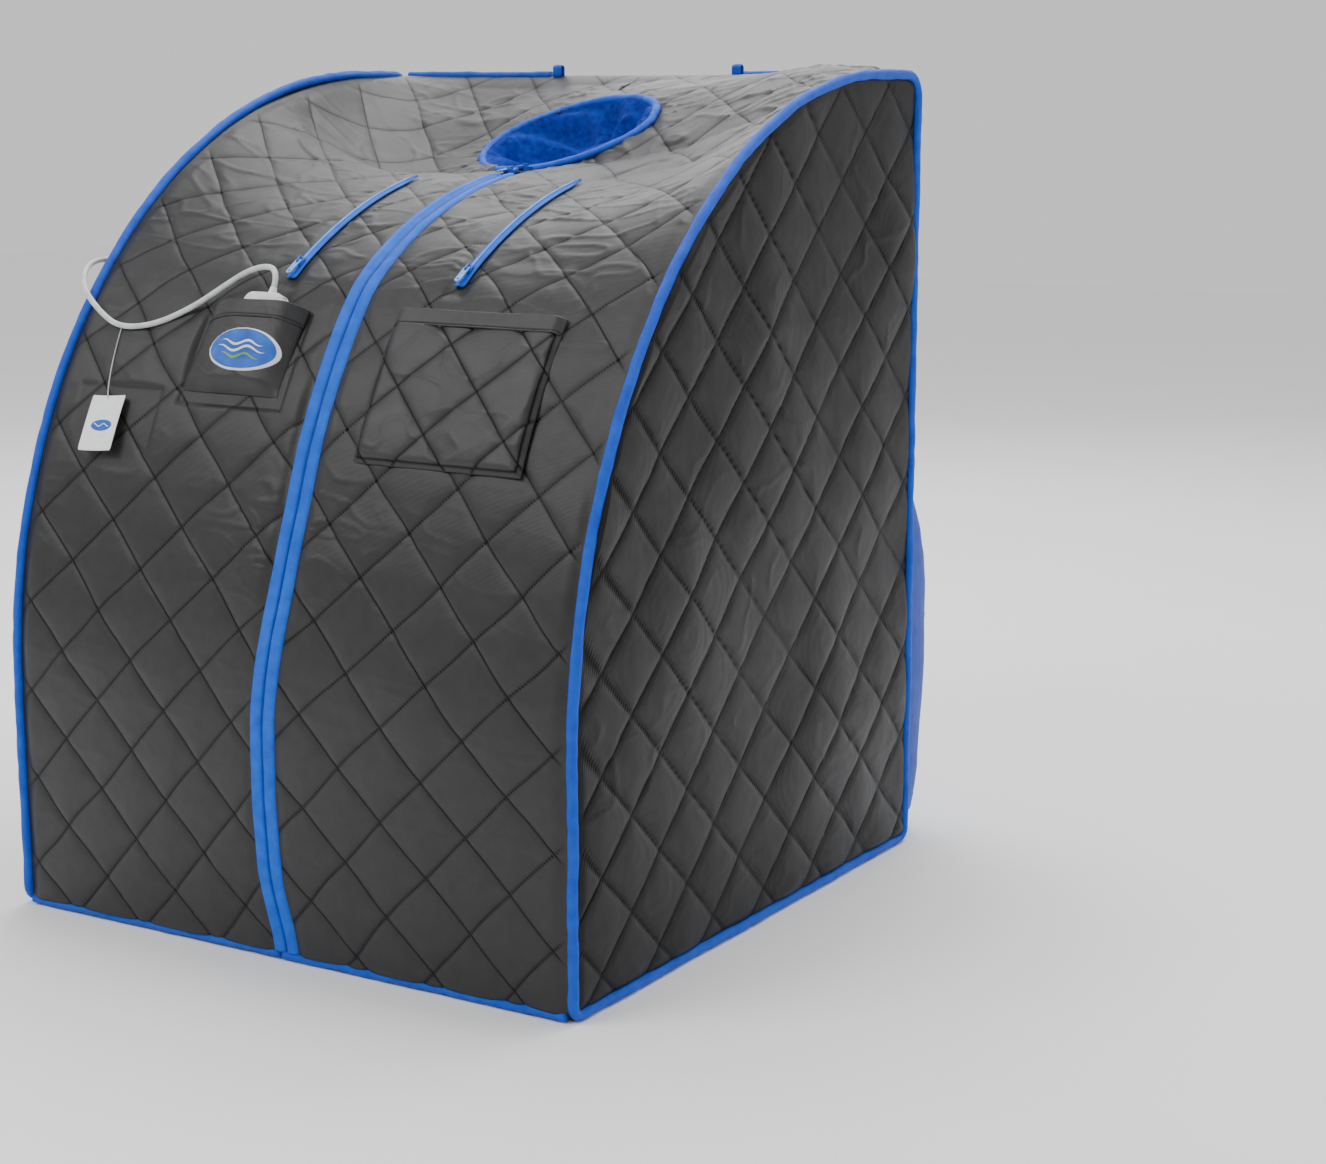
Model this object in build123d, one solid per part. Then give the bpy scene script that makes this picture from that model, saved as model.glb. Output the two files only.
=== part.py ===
"""Portable sauna tent: a quilted fabric cabin on spring-steel side hoops, with a neck opening,
a front zipper, two arm zippers, pockets, a wired hand controller and heater panels inside.

Frame: millimetres, +Z up, the front faces -Y, the origin is on the floor under the middle.
"""
import os
from math import atan2, cos, degrees, pi, radians, sin, sqrt, tan

from build123d import *

# ---------------------------------------------------------------- driving dimensions
WIDTH = 770.0            # between the middles of the two side pipings
DEPTH = 765.0            # front to back, at the floor
HEIGHT = 960.0           # floor to the top of the cabin
STRAIGHT_HEIGHT = 270.0  # the front is upright up to here
LOWER_RADIUS = 707.0     # first arc of the side profile
LOWER_SWEEP = radians(47)
FABRIC = 6.0             # thickness of the quilted fabric
PIPING_R = 6.0
PIPING_BORE = 2.3
HOOP_R = 2.2
CORNER_R = 28.0          # rear top corner of the side profile
FLOOR_R = 14.0           # its two corners at the floor
GAP = 0.3

HALF_W = WIDTH / 2
HALF_D = DEPTH / 2
LOWER_CY = -HALF_D + LOWER_RADIUS
LOWER_CZ = STRAIGHT_HEIGHT
JOIN_Y = LOWER_CY - LOWER_RADIUS * cos(LOWER_SWEEP)
JOIN_Z = LOWER_CZ + LOWER_RADIUS * sin(LOWER_SWEEP)
UPPER_RADIUS = (HEIGHT - JOIN_Z) / (1 - sin(LOWER_SWEEP))
UPPER_CY = JOIN_Y + UPPER_RADIUS * cos(LOWER_SWEEP)
UPPER_CZ = HEIGHT - UPPER_RADIUS

# The fabric between the hoops sags: along the middle it follows this arc up to the neck.
SAG_START = radians(41)  # angle on the lower arc where the sag begins
SAG_CY = 136.0
SAG_CZ = 258.5
SAG_R = 587.5
FLAT_HALF = 130.0        # the sag is even across this much on each side of the middle
NECK_Y = 202.5
NECK_Z = 886.0
NECK_HALF_X = 124.0
NECK_HALF_Y = 72.0
NECK_PITCH = 0.55        # rise of the neck opening's plane towards the back
NECK_ROLL = 0.17         # and towards the right

ZIP_HALF = 17.0          # half width of the main zipper's two tapes
CHAIN_HALF = 2.6
ARM_X = (-106.0, 128.0)  # the two arm zippers
ARM_HALF = 6.0

# s is the length along the side profile, from the floor up the front and over the top.
S_LOWER = STRAIGHT_HEIGHT + LOWER_RADIUS * LOWER_SWEEP
S_UPPER = S_LOWER + UPPER_RADIUS * (pi / 2 - LOWER_SWEEP)


def edge_point(s):
    """(y, z) of the side hoops' profile at length s."""
    if s <= STRAIGHT_HEIGHT:
        return -HALF_D, s
    if s <= S_LOWER:
        a = (s - STRAIGHT_HEIGHT) / LOWER_RADIUS
        return LOWER_CY - LOWER_RADIUS * cos(a), LOWER_CZ + LOWER_RADIUS * sin(a)
    if s <= S_UPPER:
        a = LOWER_SWEEP + (s - S_LOWER) / UPPER_RADIUS
        return UPPER_CY - UPPER_RADIUS * cos(a), UPPER_CZ + UPPER_RADIUS * sin(a)
    return UPPER_CY + s - S_UPPER, HEIGHT


def s_at(y):
    """Length along the side profile where it reaches y."""
    if y >= UPPER_CY:
        return S_UPPER + y - UPPER_CY
    if y >= JOIN_Y:
        return S_LOWER + UPPER_RADIUS * (atan2(sqrt(UPPER_RADIUS**2 - (UPPER_CY - y)**2), UPPER_CY - y)
                                         - LOWER_SWEEP)
    a = atan2(sqrt(LOWER_RADIUS**2 - (LOWER_CY - y)**2), LOWER_CY - y)
    return STRAIGHT_HEIGHT + LOWER_RADIUS * a


def middle_z(y):
    """Height of the sagging fabric along the middle of the cabin."""
    front = SAG_CZ + sqrt(SAG_R**2 - (SAG_CY - min(y, SAG_CY))**2)
    if y < NECK_Y - NECK_HALF_Y:
        return front
    ring_front = NECK_Z - NECK_PITCH * NECK_HALF_Y
    ring_back = NECK_Z + NECK_PITCH * NECK_HALF_Y
    if y < NECK_Y + NECK_HALF_Y:
        return ring_front + NECK_PITCH * (y - NECK_Y + NECK_HALF_Y)
    part = (y - NECK_Y - NECK_HALF_Y) / (HALF_D - NECK_Y - NECK_HALF_Y)
    return ring_back + (HEIGHT - ring_back) * part


def across(x):
    """Share of the middle's sag at x: 1 in the middle, 0 at the hoops."""
    out = max(0.0, abs(x) - FLAT_HALF) / (HALF_W - FLAT_HALF)
    return 1 - out**2


def canopy(x, s, lift=0.0):
    """Point of the fabric's outer face at x and s, lifted off it along the section's normal."""
    def height(at):
        y, z = edge_point(at)
        if y < LOWER_CY - LOWER_RADIUS * cos(SAG_START - 0.12):
            return y, z
        drop = z - middle_z(y)
        drop = (drop + sqrt(drop**2 + 60)) / 2 * across(x)
        start = LOWER_CY - LOWER_RADIUS * cos(SAG_START - 0.12)
        drop *= min(1.0, (y - start) / 60) * min(1.0, (HALF_D - y) / 30)
        window = min(1.0, max(0.0, (y - 60) / (HALF_D - 60)))
        roll = NECK_ROLL * x * (1 - abs(x / HALF_W)**3) * sin(pi * window)
        return y, z - drop + roll
    y0, z0 = height(s - 1)
    y1, z1 = height(s + 1)
    y, z = height(s)
    run = sqrt((y1 - y0)**2 + (z1 - z0)**2)
    return Vector(x, y - lift * (z1 - z0) / run, z + lift * (y1 - y0) / run)


def skin(stations, s0, s1, lift_in, lift_out, count=9):
    """Closed sheet of fabric between s0 and s1, lofted over the given x stations."""
    steps = [s0 + (s1 - s0) * i / (count - 1) for i in range(count)]
    wires = []
    for x in stations:
        outer = [canopy(x, s, lift_out) for s in steps]
        inner = [canopy(x, s, lift_in) for s in reversed(steps)]
        wires.append(Wire([Spline(*outer), Line(outer[-1], inner[0]), Spline(*inner), Line(inner[-1], outer[0])]))
    return Solid.make_loft(wires)


def span(a, b, count):
    return [a + (b - a) * i / (count - 1) for i in range(count)]


def block(x0, x1, y0, y1, z0, z1):
    return Pos((x0 + x1) / 2, (y0 + y1) / 2, (z0 + z1) / 2) * Box(abs(x1 - x0), abs(y1 - y0), abs(z1 - z0))


def arc_band(cy, cz, r_in, r_out, a0, a1, x0, x1):
    """Part of a ring about the X line through (cy, cz). Angles start at -Y and rise towards +Z."""
    def at(r, a):
        return (0, cy - r * cos(a), cz + r * sin(a))
    mid = (a0 + a1) / 2
    outline = Wire([ThreePointArc(at(r_out, a0), at(r_out, mid), at(r_out, a1)), Line(at(r_out, a1), at(r_in, a1)),
                    ThreePointArc(at(r_in, a1), at(r_in, mid), at(r_in, a0)), Line(at(r_in, a0), at(r_out, a0))])
    return Pos(x0, 0, 0) * extrude(Face(outline), x1 - x0, dir=(1, 0, 0))


def on_lower_arc(angle, x, turn=0.0):
    """Plane that touches the front at this angle of the lower arc: local y runs up the fabric."""
    origin = (x, LOWER_CY - LOWER_RADIUS * cos(angle), LOWER_CZ + LOWER_RADIUS * sin(angle))
    plane = Plane(origin=origin, x_dir=(1, 0, 0), z_dir=(0, -cos(angle), sin(angle)))
    return plane.rotated((0, 0, turn))


def rod(start, end, r, bore=0.0):
    start, end = Vector(*start), Vector(*end)
    plane = Plane(origin=start, z_dir=end - start)
    ring = Circle(r) - Circle(bore) if bore else Circle(r)
    return extrude(plane * ring, (end - start).length)


# ---------------------------------------------------------------- the side profile
def side_profile(inset):
    """Face of one side, in the YZ plane, with its three square corners rounded."""
    def arc(cy, cz, r, a0, a1):
        pts = [(0, cy - r * cos(a), cz + r * sin(a)) for a in (a0, (a0 + a1) / 2, a1)]
        return ThreePointArc(*pts)
    low = PIPING_R
    edges = [Line((0, HALF_D, low), (0, -HALF_D, low)), Line((0, -HALF_D, low), (0, -HALF_D, STRAIGHT_HEIGHT)),
             arc(LOWER_CY, LOWER_CZ, LOWER_RADIUS, 0, LOWER_SWEEP),
             arc(UPPER_CY, UPPER_CZ, UPPER_RADIUS, LOWER_SWEEP, pi / 2),
             Line((0, UPPER_CY, HEIGHT), (0, HALF_D, HEIGHT)), Line((0, HALF_D, HEIGHT), (0, HALF_D, low))]
    face = Face(Wire(edges))
    face = face.fillet_2d(FLOOR_R, [v for v in face.vertices() if v.Z < low + 1])
    face = face.fillet_2d(CORNER_R, [v for v in face.vertices() if v.Y > HALF_D - 1 and v.Z > HEIGHT - 1])
    if inset:
        face = Face(face.outer_wire().offset_2d(-inset))
    return face


def side_loop(x, r, bore=0.0):
    """Closed tube along the side profile."""
    path = Pos(x, 0, 0) * side_profile(0).outer_wire()
    start = Plane(origin=path @ 0, z_dir=path % 0)
    ring = Circle(r) - Circle(bore) if bore else Circle(r)
    return sweep(start * ring, path=path, transition=Transition.ROUND)


parts = {}

# ---------------------------------------------------------------- walls and floor
INSET = PIPING_R + 0.4
side_face = side_profile(INSET)
for name, x in (("left", -HALF_W), ("right", HALF_W)):
    parts[f"{name}_side_panel"] = Pos(x - FABRIC / 2, 0, 0) * extrude(side_face, FABRIC, dir=(1, 0, 0))
    parts[f"{name}_edge_piping"] = side_loop(x, PIPING_R, PIPING_BORE)
parts["side_hoops"] = Compound([side_loop(-HALF_W, HOOP_R), side_loop(HALF_W, HOOP_R)])

WALL_X = HALF_W - PIPING_R - 0.4
parts["back_panel"] = block(-WALL_X, WALL_X, HALF_D - FABRIC / 2, HALF_D + FABRIC / 2, 12, HEIGHT - 10)
parts["floor_mat"] = block(-WALL_X, WALL_X, -HALF_D + 8, HALF_D - 8, 0, 5)

S_NECK = s_at(NECK_Y - NECK_HALF_Y - 3)
S_BACK = s_at(HALF_D - 8)
neck_plane = Plane(origin=(0, NECK_Y, NECK_Z), x_dir=(1, 0, NECK_ROLL), z_dir=(-NECK_ROLL, -NECK_PITCH, 1))
NECK_LONG = NECK_HALF_Y * sqrt(1 + NECK_PITCH**2)
RIM_HALF = 5.0           # half width of the binding around the neck opening
neck_cut = neck_plane * extrude(Ellipse(NECK_HALF_X + RIM_HALF + GAP, NECK_LONG + RIM_HALF + GAP), 40, both=True)
front_stations = {"left": span(-WALL_X, -ZIP_HALF - GAP, 6), "right": span(ZIP_HALF + GAP, WALL_X, 6)}
for name, stations in front_stations.items():
    panel = skin(stations, STRAIGHT_HEIGHT + 3, S_NECK, -FABRIC, 0, 14)
    parts[f"{name}_front_panel"] = (panel - neck_cut).solid()

top = skin(span(-WALL_X, WALL_X, 13), S_NECK + 1, S_BACK, -FABRIC, 0, 9)
parts["top_panel"] = (top - neck_cut).solid()

# ---------------------------------------------------------------- piping, poles and loops at the back
LOOP_X = 135.0
LOOP_W = 12.0
RUN_END = LOOP_X + LOOP_W / 2 + 4
ends = ((-WALL_X + 1, -RUN_END), (RUN_END, WALL_X - 1))
top_runs = [rod((a, HALF_D, HEIGHT), (b, HALF_D, HEIGHT), 5.0) for a, b in ends]
bottom_run = rod((-WALL_X + 1, HALF_D, 5.5), (WALL_X - 1, HALF_D, 5.5), 5.0)
parts["rear_piping"] = Compound(top_runs + [bottom_run])

POLE_R = 4.0
POLE_HALF = 366.0
POLE_Y = HALF_D - 18
POLE_Z = (HEIGHT - 25, 24.0)
parts["cross_poles"] = Compound([rod((-POLE_HALF, POLE_Y, z), (POLE_HALF, POLE_Y, z), POLE_R, 2.8) for z in POLE_Z])
caps = []
for z in POLE_Z:
    for side in (-1, 1):
        cap = rod((side * (POLE_HALF - 14), POLE_Y, z), (side * (POLE_HALF + 4), POLE_Y, z), POLE_R + 1.8)
        caps.append(cap - rod((side * (POLE_HALF - 15), POLE_Y, z), (side * POLE_HALF, POLE_Y, z), POLE_R))
parts["pole_end_caps"] = Compound([cap.solid() for cap in caps])
sleeves = [rod((-POLE_HALF + 20, POLE_Y, z), (POLE_HALF - 20, POLE_Y, z), POLE_R + 1.8, POLE_R + 0.6) for z in POLE_Z]
parts["pole_sleeves"] = Compound(sleeves)

loops = []
for x in (-LOOP_X, LOOP_X):
    loop = block(x - LOOP_W / 2, x + LOOP_W / 2, HALF_D - 5, HALF_D + 5, HEIGHT - 4, HEIGHT + 14)
    loop = fillet(loop.edges().filter_by(Axis.X).group_by(Axis.Z)[-1], 4.5)
    loops.append(loop - block(x - LOOP_W, x + LOOP_W, HALF_D - 3.2, HALF_D + 3.2, HEIGHT + 0.5, HEIGHT + 10))
parts["hanging_loops"] = Compound([loop.solid() for loop in loops])

# ---------------------------------------------------------------- main zipper
tapes = [skin(span(x0, x1, 3), STRAIGHT_HEIGHT + 3, S_NECK - 4, -1.8, 1.2, 16)
         for x0, x1 in ((-ZIP_HALF, -0.2), (0.2, ZIP_HALF))]
parts["main_zip_tapes"] = Compound([(tape - neck_cut).solid() for tape in tapes])
chain = skin(span(-CHAIN_HALF, CHAIN_HALF, 3), STRAIGHT_HEIGHT + 3, S_NECK - 4, 1.4, 3.2, 16)
parts["main_zip_chain"] = (chain - neck_cut).solid()

# ---------------------------------------------------------------- door flaps: the upright part of the front
FLAP_X = WALL_X - 3.5
FLAP_TOP = STRAIGHT_HEIGHT
FLAP_LOW = 10.6
HEM_R = 4.6
for name, side in (("left", -1), ("right", 1)):
    x0, x1 = sorted((side * FLAP_X, side * (ZIP_HALF + GAP)))
    parts[f"{name}_door_flap"] = block(x0, x1, -HALF_D, -HALF_D + FABRIC, FLAP_LOW, FLAP_TOP)
    parts[f"{name}_flap_hem"] = rod((side * 0.3, -HALF_D, HEM_R + 1), (side * (FLAP_X - 10), -HALF_D, HEM_R + 1), HEM_R)
    x0, x1 = sorted((side * 0.3, side * ZIP_HALF))
    tape = block(x0, x1, -HALF_D - 1.2, -HALF_D + 1.8, FLAP_LOW, FLAP_TOP)
    x0, x1 = sorted((side * 0.3, side * CHAIN_HALF))
    parts[f"{name}_flap_tape"] = tape + block(x0, x1, -HALF_D - 3.2, -HALF_D - 1.2, FLAP_LOW, FLAP_TOP)


# ---------------------------------------------------------------- sliders and pull tabs
def at_sag(phi, x):
    """Plane on the sag arc: local x across, y up the zipper, z off the fabric."""
    origin = (x, SAG_CY - SAG_R * sin(phi), SAG_CZ + SAG_R * cos(phi))
    return Plane(origin=origin, x_dir=(1, 0, 0), z_dir=(0, -sin(phi), cos(phi)))


LOW, HIGH = 1.45, 6.0    # underside and top of a slider, off the fabric
PIN_Z = HIGH + 1.4


def slider(phi, x, width, length):
    """Slider body: a block over the chain, open below, with a bridge for the pull tab."""
    body = Pos(0, 0, (LOW + HIGH) / 2) * Box(width, length, HIGH - LOW)
    body = fillet(body.edges().filter_by(Axis.Z), width * 0.3)
    body -= Pos(0, 0, LOW) * Box(2 * CHAIN_HALF + 1.0, length + 2, 2 * (HIGH - LOW - 1.6))
    bridge = Pos(0, 0, HIGH + 1.9) * Box(2.4, length * 0.62, 3.8)
    bridge -= Pos(0, 0, PIN_Z) * Box(4, length * 0.32, 2.8)
    return at_sag(phi, x) * (body + bridge)


def pull_tab(phi, x, width, length):
    """Flat pull tab with a finger hole: two lugs pass the slider's bridge and hold the pin inside it."""
    tab = Pos(0, 1 - length / 2, PIN_Z) * Box(width, length, 1.4)
    tab = fillet(tab.edges().filter_by(Axis.Z), width * 0.45)
    tab -= Pos(0, 1 + width / 2 - length, PIN_Z) * Cylinder(width * 0.2, 6)
    tab -= Pos(0, -2.4, PIN_Z) * Box(3.2, 8.0, 6)
    pin = Pos(0, 0, PIN_Z) * Rot(0, 90, 0) * Cylinder(0.7, width * 0.8)
    return at_sag(phi, x) * (tab + pin)


for which, phi, length in (("lower", radians(6.0), 26), ("upper", radians(2.9), 20)):
    parts[f"{which}_main_slider"] = slider(phi, 0, 12, 18)
    parts[f"{which}_main_pull"] = pull_tab(phi, 0, 8, length)

ARM_PHI0, ARM_PHI1 = radians(10.3), radians(35.2)
ARM_REST = radians(33.6)
for name, x in (("left", ARM_X[0]), ("right", ARM_X[1])):
    a0, a1 = pi / 2 - ARM_PHI1, pi / 2 - ARM_PHI0
    tapes = [arc_band(SAG_CY, SAG_CZ, SAG_R + 0.2, SAG_R + 1.2, a0, a1, x + lo, x + hi)
             for lo, hi in ((-ARM_HALF, -0.2), (0.2, ARM_HALF))]
    chain = arc_band(SAG_CY, SAG_CZ, SAG_R + 1.3, SAG_R + 3.0, a0, a1, x - 2.0, x + 2.0)
    parts[f"{name}_arm_zip"] = Compound([piece.solid() for piece in tapes + [chain]])
    parts[f"{name}_arm_slider"] = slider(ARM_REST, x, 9.5, 13)
    parts[f"{name}_arm_pull"] = pull_tab(ARM_REST, x, 7.5, 26)

# ---------------------------------------------------------------- neck opening
def ellipse_band(outer, inner, low, high):
    """Elliptical ring between two offsets from the neck opening's edge."""
    ring = Ellipse(NECK_HALF_X + outer, NECK_LONG + outer) - Ellipse(NECK_HALF_X + inner, NECK_LONG + inner)
    return Pos(0, 0, low) * extrude(ring, high - low)


rim = ellipse_band(RIM_HALF, -RIM_HALF, -7, 9)
parts["neck_rim"] = neck_plane * fillet(rim.edges().group_by(Axis.Z)[-1], 3.5)
parts["neck_collar"] = neck_plane * (ellipse_band(-6, -11, -30, 5) + ellipse_band(-6, -48, -35, -30))

# ---------------------------------------------------------------- controller pocket
CTRL_ANGLE = radians(32.3)
ctrl_plane = on_lower_arc(CTRL_ANGLE, -112.0)
POCKET_TOP, POCKET_BOTTOM = 62.0, -45.0
POCKET_DEPTH_TOP, POCKET_DEPTH_BOTTOM = 27.0, 14.0
POCKET_SLOPE = (POCKET_DEPTH_TOP - POCKET_DEPTH_BOTTOM) / (POCKET_TOP - POCKET_BOTTOM)
POCKET_TILT = degrees(atan2(POCKET_SLOPE, 1))
WALL = 1.6
HEM_H = 22.0


def pocket_section(y, inset):
    """Cross-section of the controller pocket at height y in its own plane."""
    up = (y - POCKET_BOTTOM) / (POCKET_TOP - POCKET_BOTTOM)
    base_l, base_r = 85 - 9 * up - inset, 56 + 4 * up - inset
    front_l, front_r = 50 - 4 * up - inset, 44 + 2 * up - inset
    depth = POCKET_DEPTH_BOTTOM + POCKET_SLOPE * (y - POCKET_BOTTOM) - inset
    low = 0.4 + inset
    return Wire.make_polygon([Vector(-base_l, y, low), Vector(-front_l, y, depth), Vector(front_r, y, depth),
                              Vector(base_r, y, low)])


outer = Solid.make_loft([pocket_section(POCKET_BOTTOM, 0), pocket_section(POCKET_TOP, 0)], ruled=True)
inner = Solid.make_loft([pocket_section(POCKET_BOTTOM + 4, WALL), pocket_section(POCKET_TOP + 4, WALL)], ruled=True)
pouch = outer - inner
hem_zone = Pos(0, POCKET_TOP - HEM_H / 2, 30) * Box(300, HEM_H, 100)
parts["controller_pocket"] = ctrl_plane * (pouch - hem_zone).solid()
parts["controller_pocket_hem"] = ctrl_plane * (pouch & hem_zone).solid()


def off_front(x, y, gap):
    """Location on the pocket's sloping front wall, gap off it."""
    return Pos(x, y, POCKET_DEPTH_BOTTOM + POCKET_SLOPE * (y - POCKET_BOTTOM) + gap) * Rot(POCKET_TILT, 0, 0)


parts["oval_patch"] = ctrl_plane * (off_front(0, 1, 0.1) * extrude(Ellipse(44, 24), 0.9))

# ---------------------------------------------------------------- storage pocket
STORE_X = (66.0, 286.0)
STORE_A = (radians(23.4), radians(38.0))
HEM_A = 20.0 / LOWER_RADIUS
store_in, store_out = LOWER_RADIUS + 9.0, LOWER_RADIUS + 11.0
front = arc_band(LOWER_CY, LOWER_CZ, store_in, store_out, STORE_A[0], STORE_A[1] - HEM_A, *STORE_X)
border = []
for x0, x1 in ((STORE_X[0], STORE_X[0] + 3), (STORE_X[1] - 3, STORE_X[1])):
    border.append(arc_band(LOWER_CY, LOWER_CZ, LOWER_RADIUS + 0.4, store_in, STORE_A[0], STORE_A[1] - HEM_A, x0, x1))
border.append(arc_band(LOWER_CY, LOWER_CZ, LOWER_RADIUS + 0.4, store_in, STORE_A[0], STORE_A[0] + 0.006, *STORE_X))
store = front
for piece in border:
    store += piece
parts["storage_pocket"] = store
parts["storage_pocket_hem"] = arc_band(LOWER_CY, LOWER_CZ, store_in - 0.6, store_out + 0.6, STORE_A[1] - HEM_A,
                                       STORE_A[1], *STORE_X)

# ---------------------------------------------------------------- hand controller
# It stands in the pocket against the front wall. Its own frame: z 0 is its face, y runs up the pocket.
BODY_W, BODY_H, BODY_T = 56.0, 88.0, 12.0
BODY_TOP = 72.0
SKIN = 2.0
body_y = BODY_TOP - BODY_H / 2
body_frame = ctrl_plane * off_front(8, 0, -WALL - 1.2)


def case_block(width, height, z0, z1):
    return Pos(0, body_y, (z0 + z1) / 2) * Box(width, height, z1 - z0)


case = case_block(BODY_W, BODY_H, -BODY_T, 0)
case = fillet(case.edges().filter_by(Axis.Z), 12)
case -= case_block(BODY_W - 2 * SKIN, BODY_H - 2 * SKIN - 4, SKIN - BODY_T, -SKIN)
split = -BODY_T * 0.55
front_shell = (case & case_block(BODY_W, BODY_H, split, 0)).solid()
window = Pos(0, body_y + 24, -0.6) * Box(36, 20, 1.2)
button_places = {"power_button": (0, body_y - 26, 6.5), "temperature_button": (-14, body_y - 5, 5.0),
                 "timer_button": (14, body_y - 5, 5.0)}
for name, (x, y, r) in button_places.items():
    front_shell -= Pos(x, y, 0) * Cylinder(r + 0.35, 3 * SKIN)
    cap = Pos(x, y, -0.5) * Cylinder(r, 2.6)
    parts[name] = body_frame * fillet(cap.edges().group_by(Axis.Z)[-1], 0.5)
parts["controller_back_shell"] = body_frame * (case & case_block(BODY_W, BODY_H, -BODY_T, split)).solid()
parts["controller_front_shell"] = body_frame * (front_shell - window)
parts["controller_display"] = body_frame * window

CORD_D = 6.5
RELIEF_X = 5.0
RELIEF_TOP = BODY_TOP + 8
relief_base = Plane(origin=(RELIEF_X, BODY_TOP, split), x_dir=(1, 0, 0), z_dir=(0, 1, 0))
relief = Cone(5.0, 3.9, RELIEF_TOP - BODY_TOP, align=(Align.CENTER, Align.CENTER, Align.MIN))
parts["controller_strain_relief"] = body_frame * (relief_base * relief)

# ---------------------------------------------------------------- controller cord
OUTLET_Y, OUTLET_Z = -150.0, 742.0
OUTLET_END = -HALF_W - 8.0
cord_route = [
    tuple((body_frame * Pos(RELIEF_X, RELIEF_TOP, split)).position),
    tuple((body_frame * Pos(RELIEF_X, RELIEF_TOP + 14, split)).position),
    tuple((body_frame * Pos(RELIEF_X - 12, RELIEF_TOP + 26, split)).position),
    (-142, -236, 744),
    (-177, -241, 724),
    (-216, -251, 699),
    (-263, -264, 678),
    (-312, -270, 673),
    (-350, -262, 690),
    (-384, -250, 713),
    (-407, -225, 731),
    (-420, -196, 741),
    (-424, -164, 742),
    (-411, OUTLET_Y, OUTLET_Z),
    (OUTLET_END, OUTLET_Y, OUTLET_Z),
]


def fillet_radii(route):
    """Arc at each point: 0.45 of the shorter run, over the tangent of half the turn."""
    radii = []
    pts = [Vector(*p) for p in route]
    for a, b, c in zip(pts, pts[1:], pts[2:]):
        turn = radians((b - a).get_angle(c - b))
        radii.append(0.45 * min((b - a).length, (c - b).length) / tan(turn / 2))
    return radii


radii = fillet_radii(cord_route)
print("cord radii", [round(r, 1) for r in radii])
cord_path = FilletPolyline(*cord_route, radius=radii)
cord_tube = sweep(Plane(origin=cord_path @ 0, z_dir=cord_path % 0) * Circle(CORD_D / 2), path=cord_path)
print("cord length", round(cord_path.length, 1), "volume ratio",
      round(cord_tube.volume / (pi * CORD_D**2 / 4 * cord_path.length), 3))
parts["controller_cord"] = cord_tube
outlet = rod((-HALF_W - FABRIC / 2 - 0.1, OUTLET_Y, OUTLET_Z), (OUTLET_END, OUTLET_Y, OUTLET_Z), 11)
parts["cord_outlet"] = fillet(outlet.edges().group_by(Axis.X)[0], 2.5)

# ---------------------------------------------------------------- hang tag
TAG_ANGLE = radians(30.5)
tag_plane = on_lower_arc(TAG_ANGLE, -312.0)
card = Pos(25, -73, 9.0) * Rot(0, 0, 4) * Box(48, 68, 0.8)
card = fillet(card.edges().filter_by(Axis.Z), 3)
card -= Pos(22, -46, 9.0) * Cylinder(2, 6)
parts["hang_tag"] = tag_plane * card
parts["tag_string"] = tag_plane * rod((1.5, 42.5, 5.9), (22.0, -43.0, 10.2), 0.6)

# ---------------------------------------------------------------- rear pouch
pouch_outline = [(HALF_D + 3.6, 488), (391, 490), (428, 430), (466, 360), (475, 300), (474, 215), (459, 92),
                 (440, 26), (HALF_D + 3.6, 22)]
pouch_face = Face(Wire.make_polygon([Vector(0, y, z) for y, z in pouch_outline]))
POUCH_X = (120.0, 376.0)
pouch_solid = Pos(POUCH_X[0], 0, 0) * extrude(pouch_face, POUCH_X[1] - POUCH_X[0], dir=(1, 0, 0))
pouch_space = Face(pouch_face.outer_wire().offset_2d(-3))
pouch_solid -= Pos(POUCH_X[0] + 3, 0, 0) * extrude(pouch_space, POUCH_X[1] - POUCH_X[0] - 6, dir=(1, 0, 0))
parts["rear_pouch"] = pouch_solid.solid()

# ---------------------------------------------------------------- heating inside
HEATER_T = 2.4


def heater(width, height, plane):
    """Carbon heater panel and the open-topped lining pocket that holds it, standing on plane."""
    panel = Pos(0, 0, 2.5 + HEATER_T / 2) * Box(width, height, HEATER_T)
    tray = Pos(0, -6, 3.6) * Box(width + 30, height + 18, 6.4)
    tray -= Pos(0, 6, 3.6) * Box(width + 8, height + 30, 4.0)
    return plane * fillet(panel.edges().filter_by(Axis.Z), 8), plane * tray


heater_planes = {
    "left": (Plane(origin=(-HALF_W + FABRIC / 2, 90, 430), x_dir=(0, 1, 0), z_dir=(1, 0, 0)), 340, 460),
    "right": (Plane(origin=(HALF_W - FABRIC / 2, 90, 430), x_dir=(0, -1, 0), z_dir=(-1, 0, 0)), 340, 460),
    "back": (Plane(origin=(0, HALF_D - FABRIC / 2, 470), x_dir=(-1, 0, 0), z_dir=(0, -1, 0)), 440, 500),
}
trays = []
for name, (plane, width, height) in heater_planes.items():
    panel, tray = heater(width, height, plane)
    parts[f"{name}_heater"] = panel
    trays.append(tray.solid())
parts["heater_pockets"] = Compound(trays)
mat = Pos(0, -150, 8.2) * Box(420, 300, 6)
parts["foot_heater"] = fillet(mat.edges().filter_by(Axis.Z), 20)

INLET_X, INLET_Z = -300.0, 66.0
INLET_Y = HALF_D + FABRIC / 2 + 0.1
inlet = block(INLET_X - 24, INLET_X + 24, INLET_Y, INLET_Y + 6, INLET_Z - 16, INLET_Z + 16)
inlet = fillet(inlet.edges().filter_by(Axis.Y), 5)
inlet -= block(INLET_X - 12, INLET_X + 12, INLET_Y + 1.5, INLET_Y + 9, INLET_Z - 8, INLET_Z + 8)
for d in (-6, 0, 6):
    inlet += block(INLET_X + d - 1, INLET_X + d + 1, INLET_Y + 1.4, INLET_Y + 5.4, INLET_Z - 3, INLET_Z + 3)
parts["power_inlet"] = inlet

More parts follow.
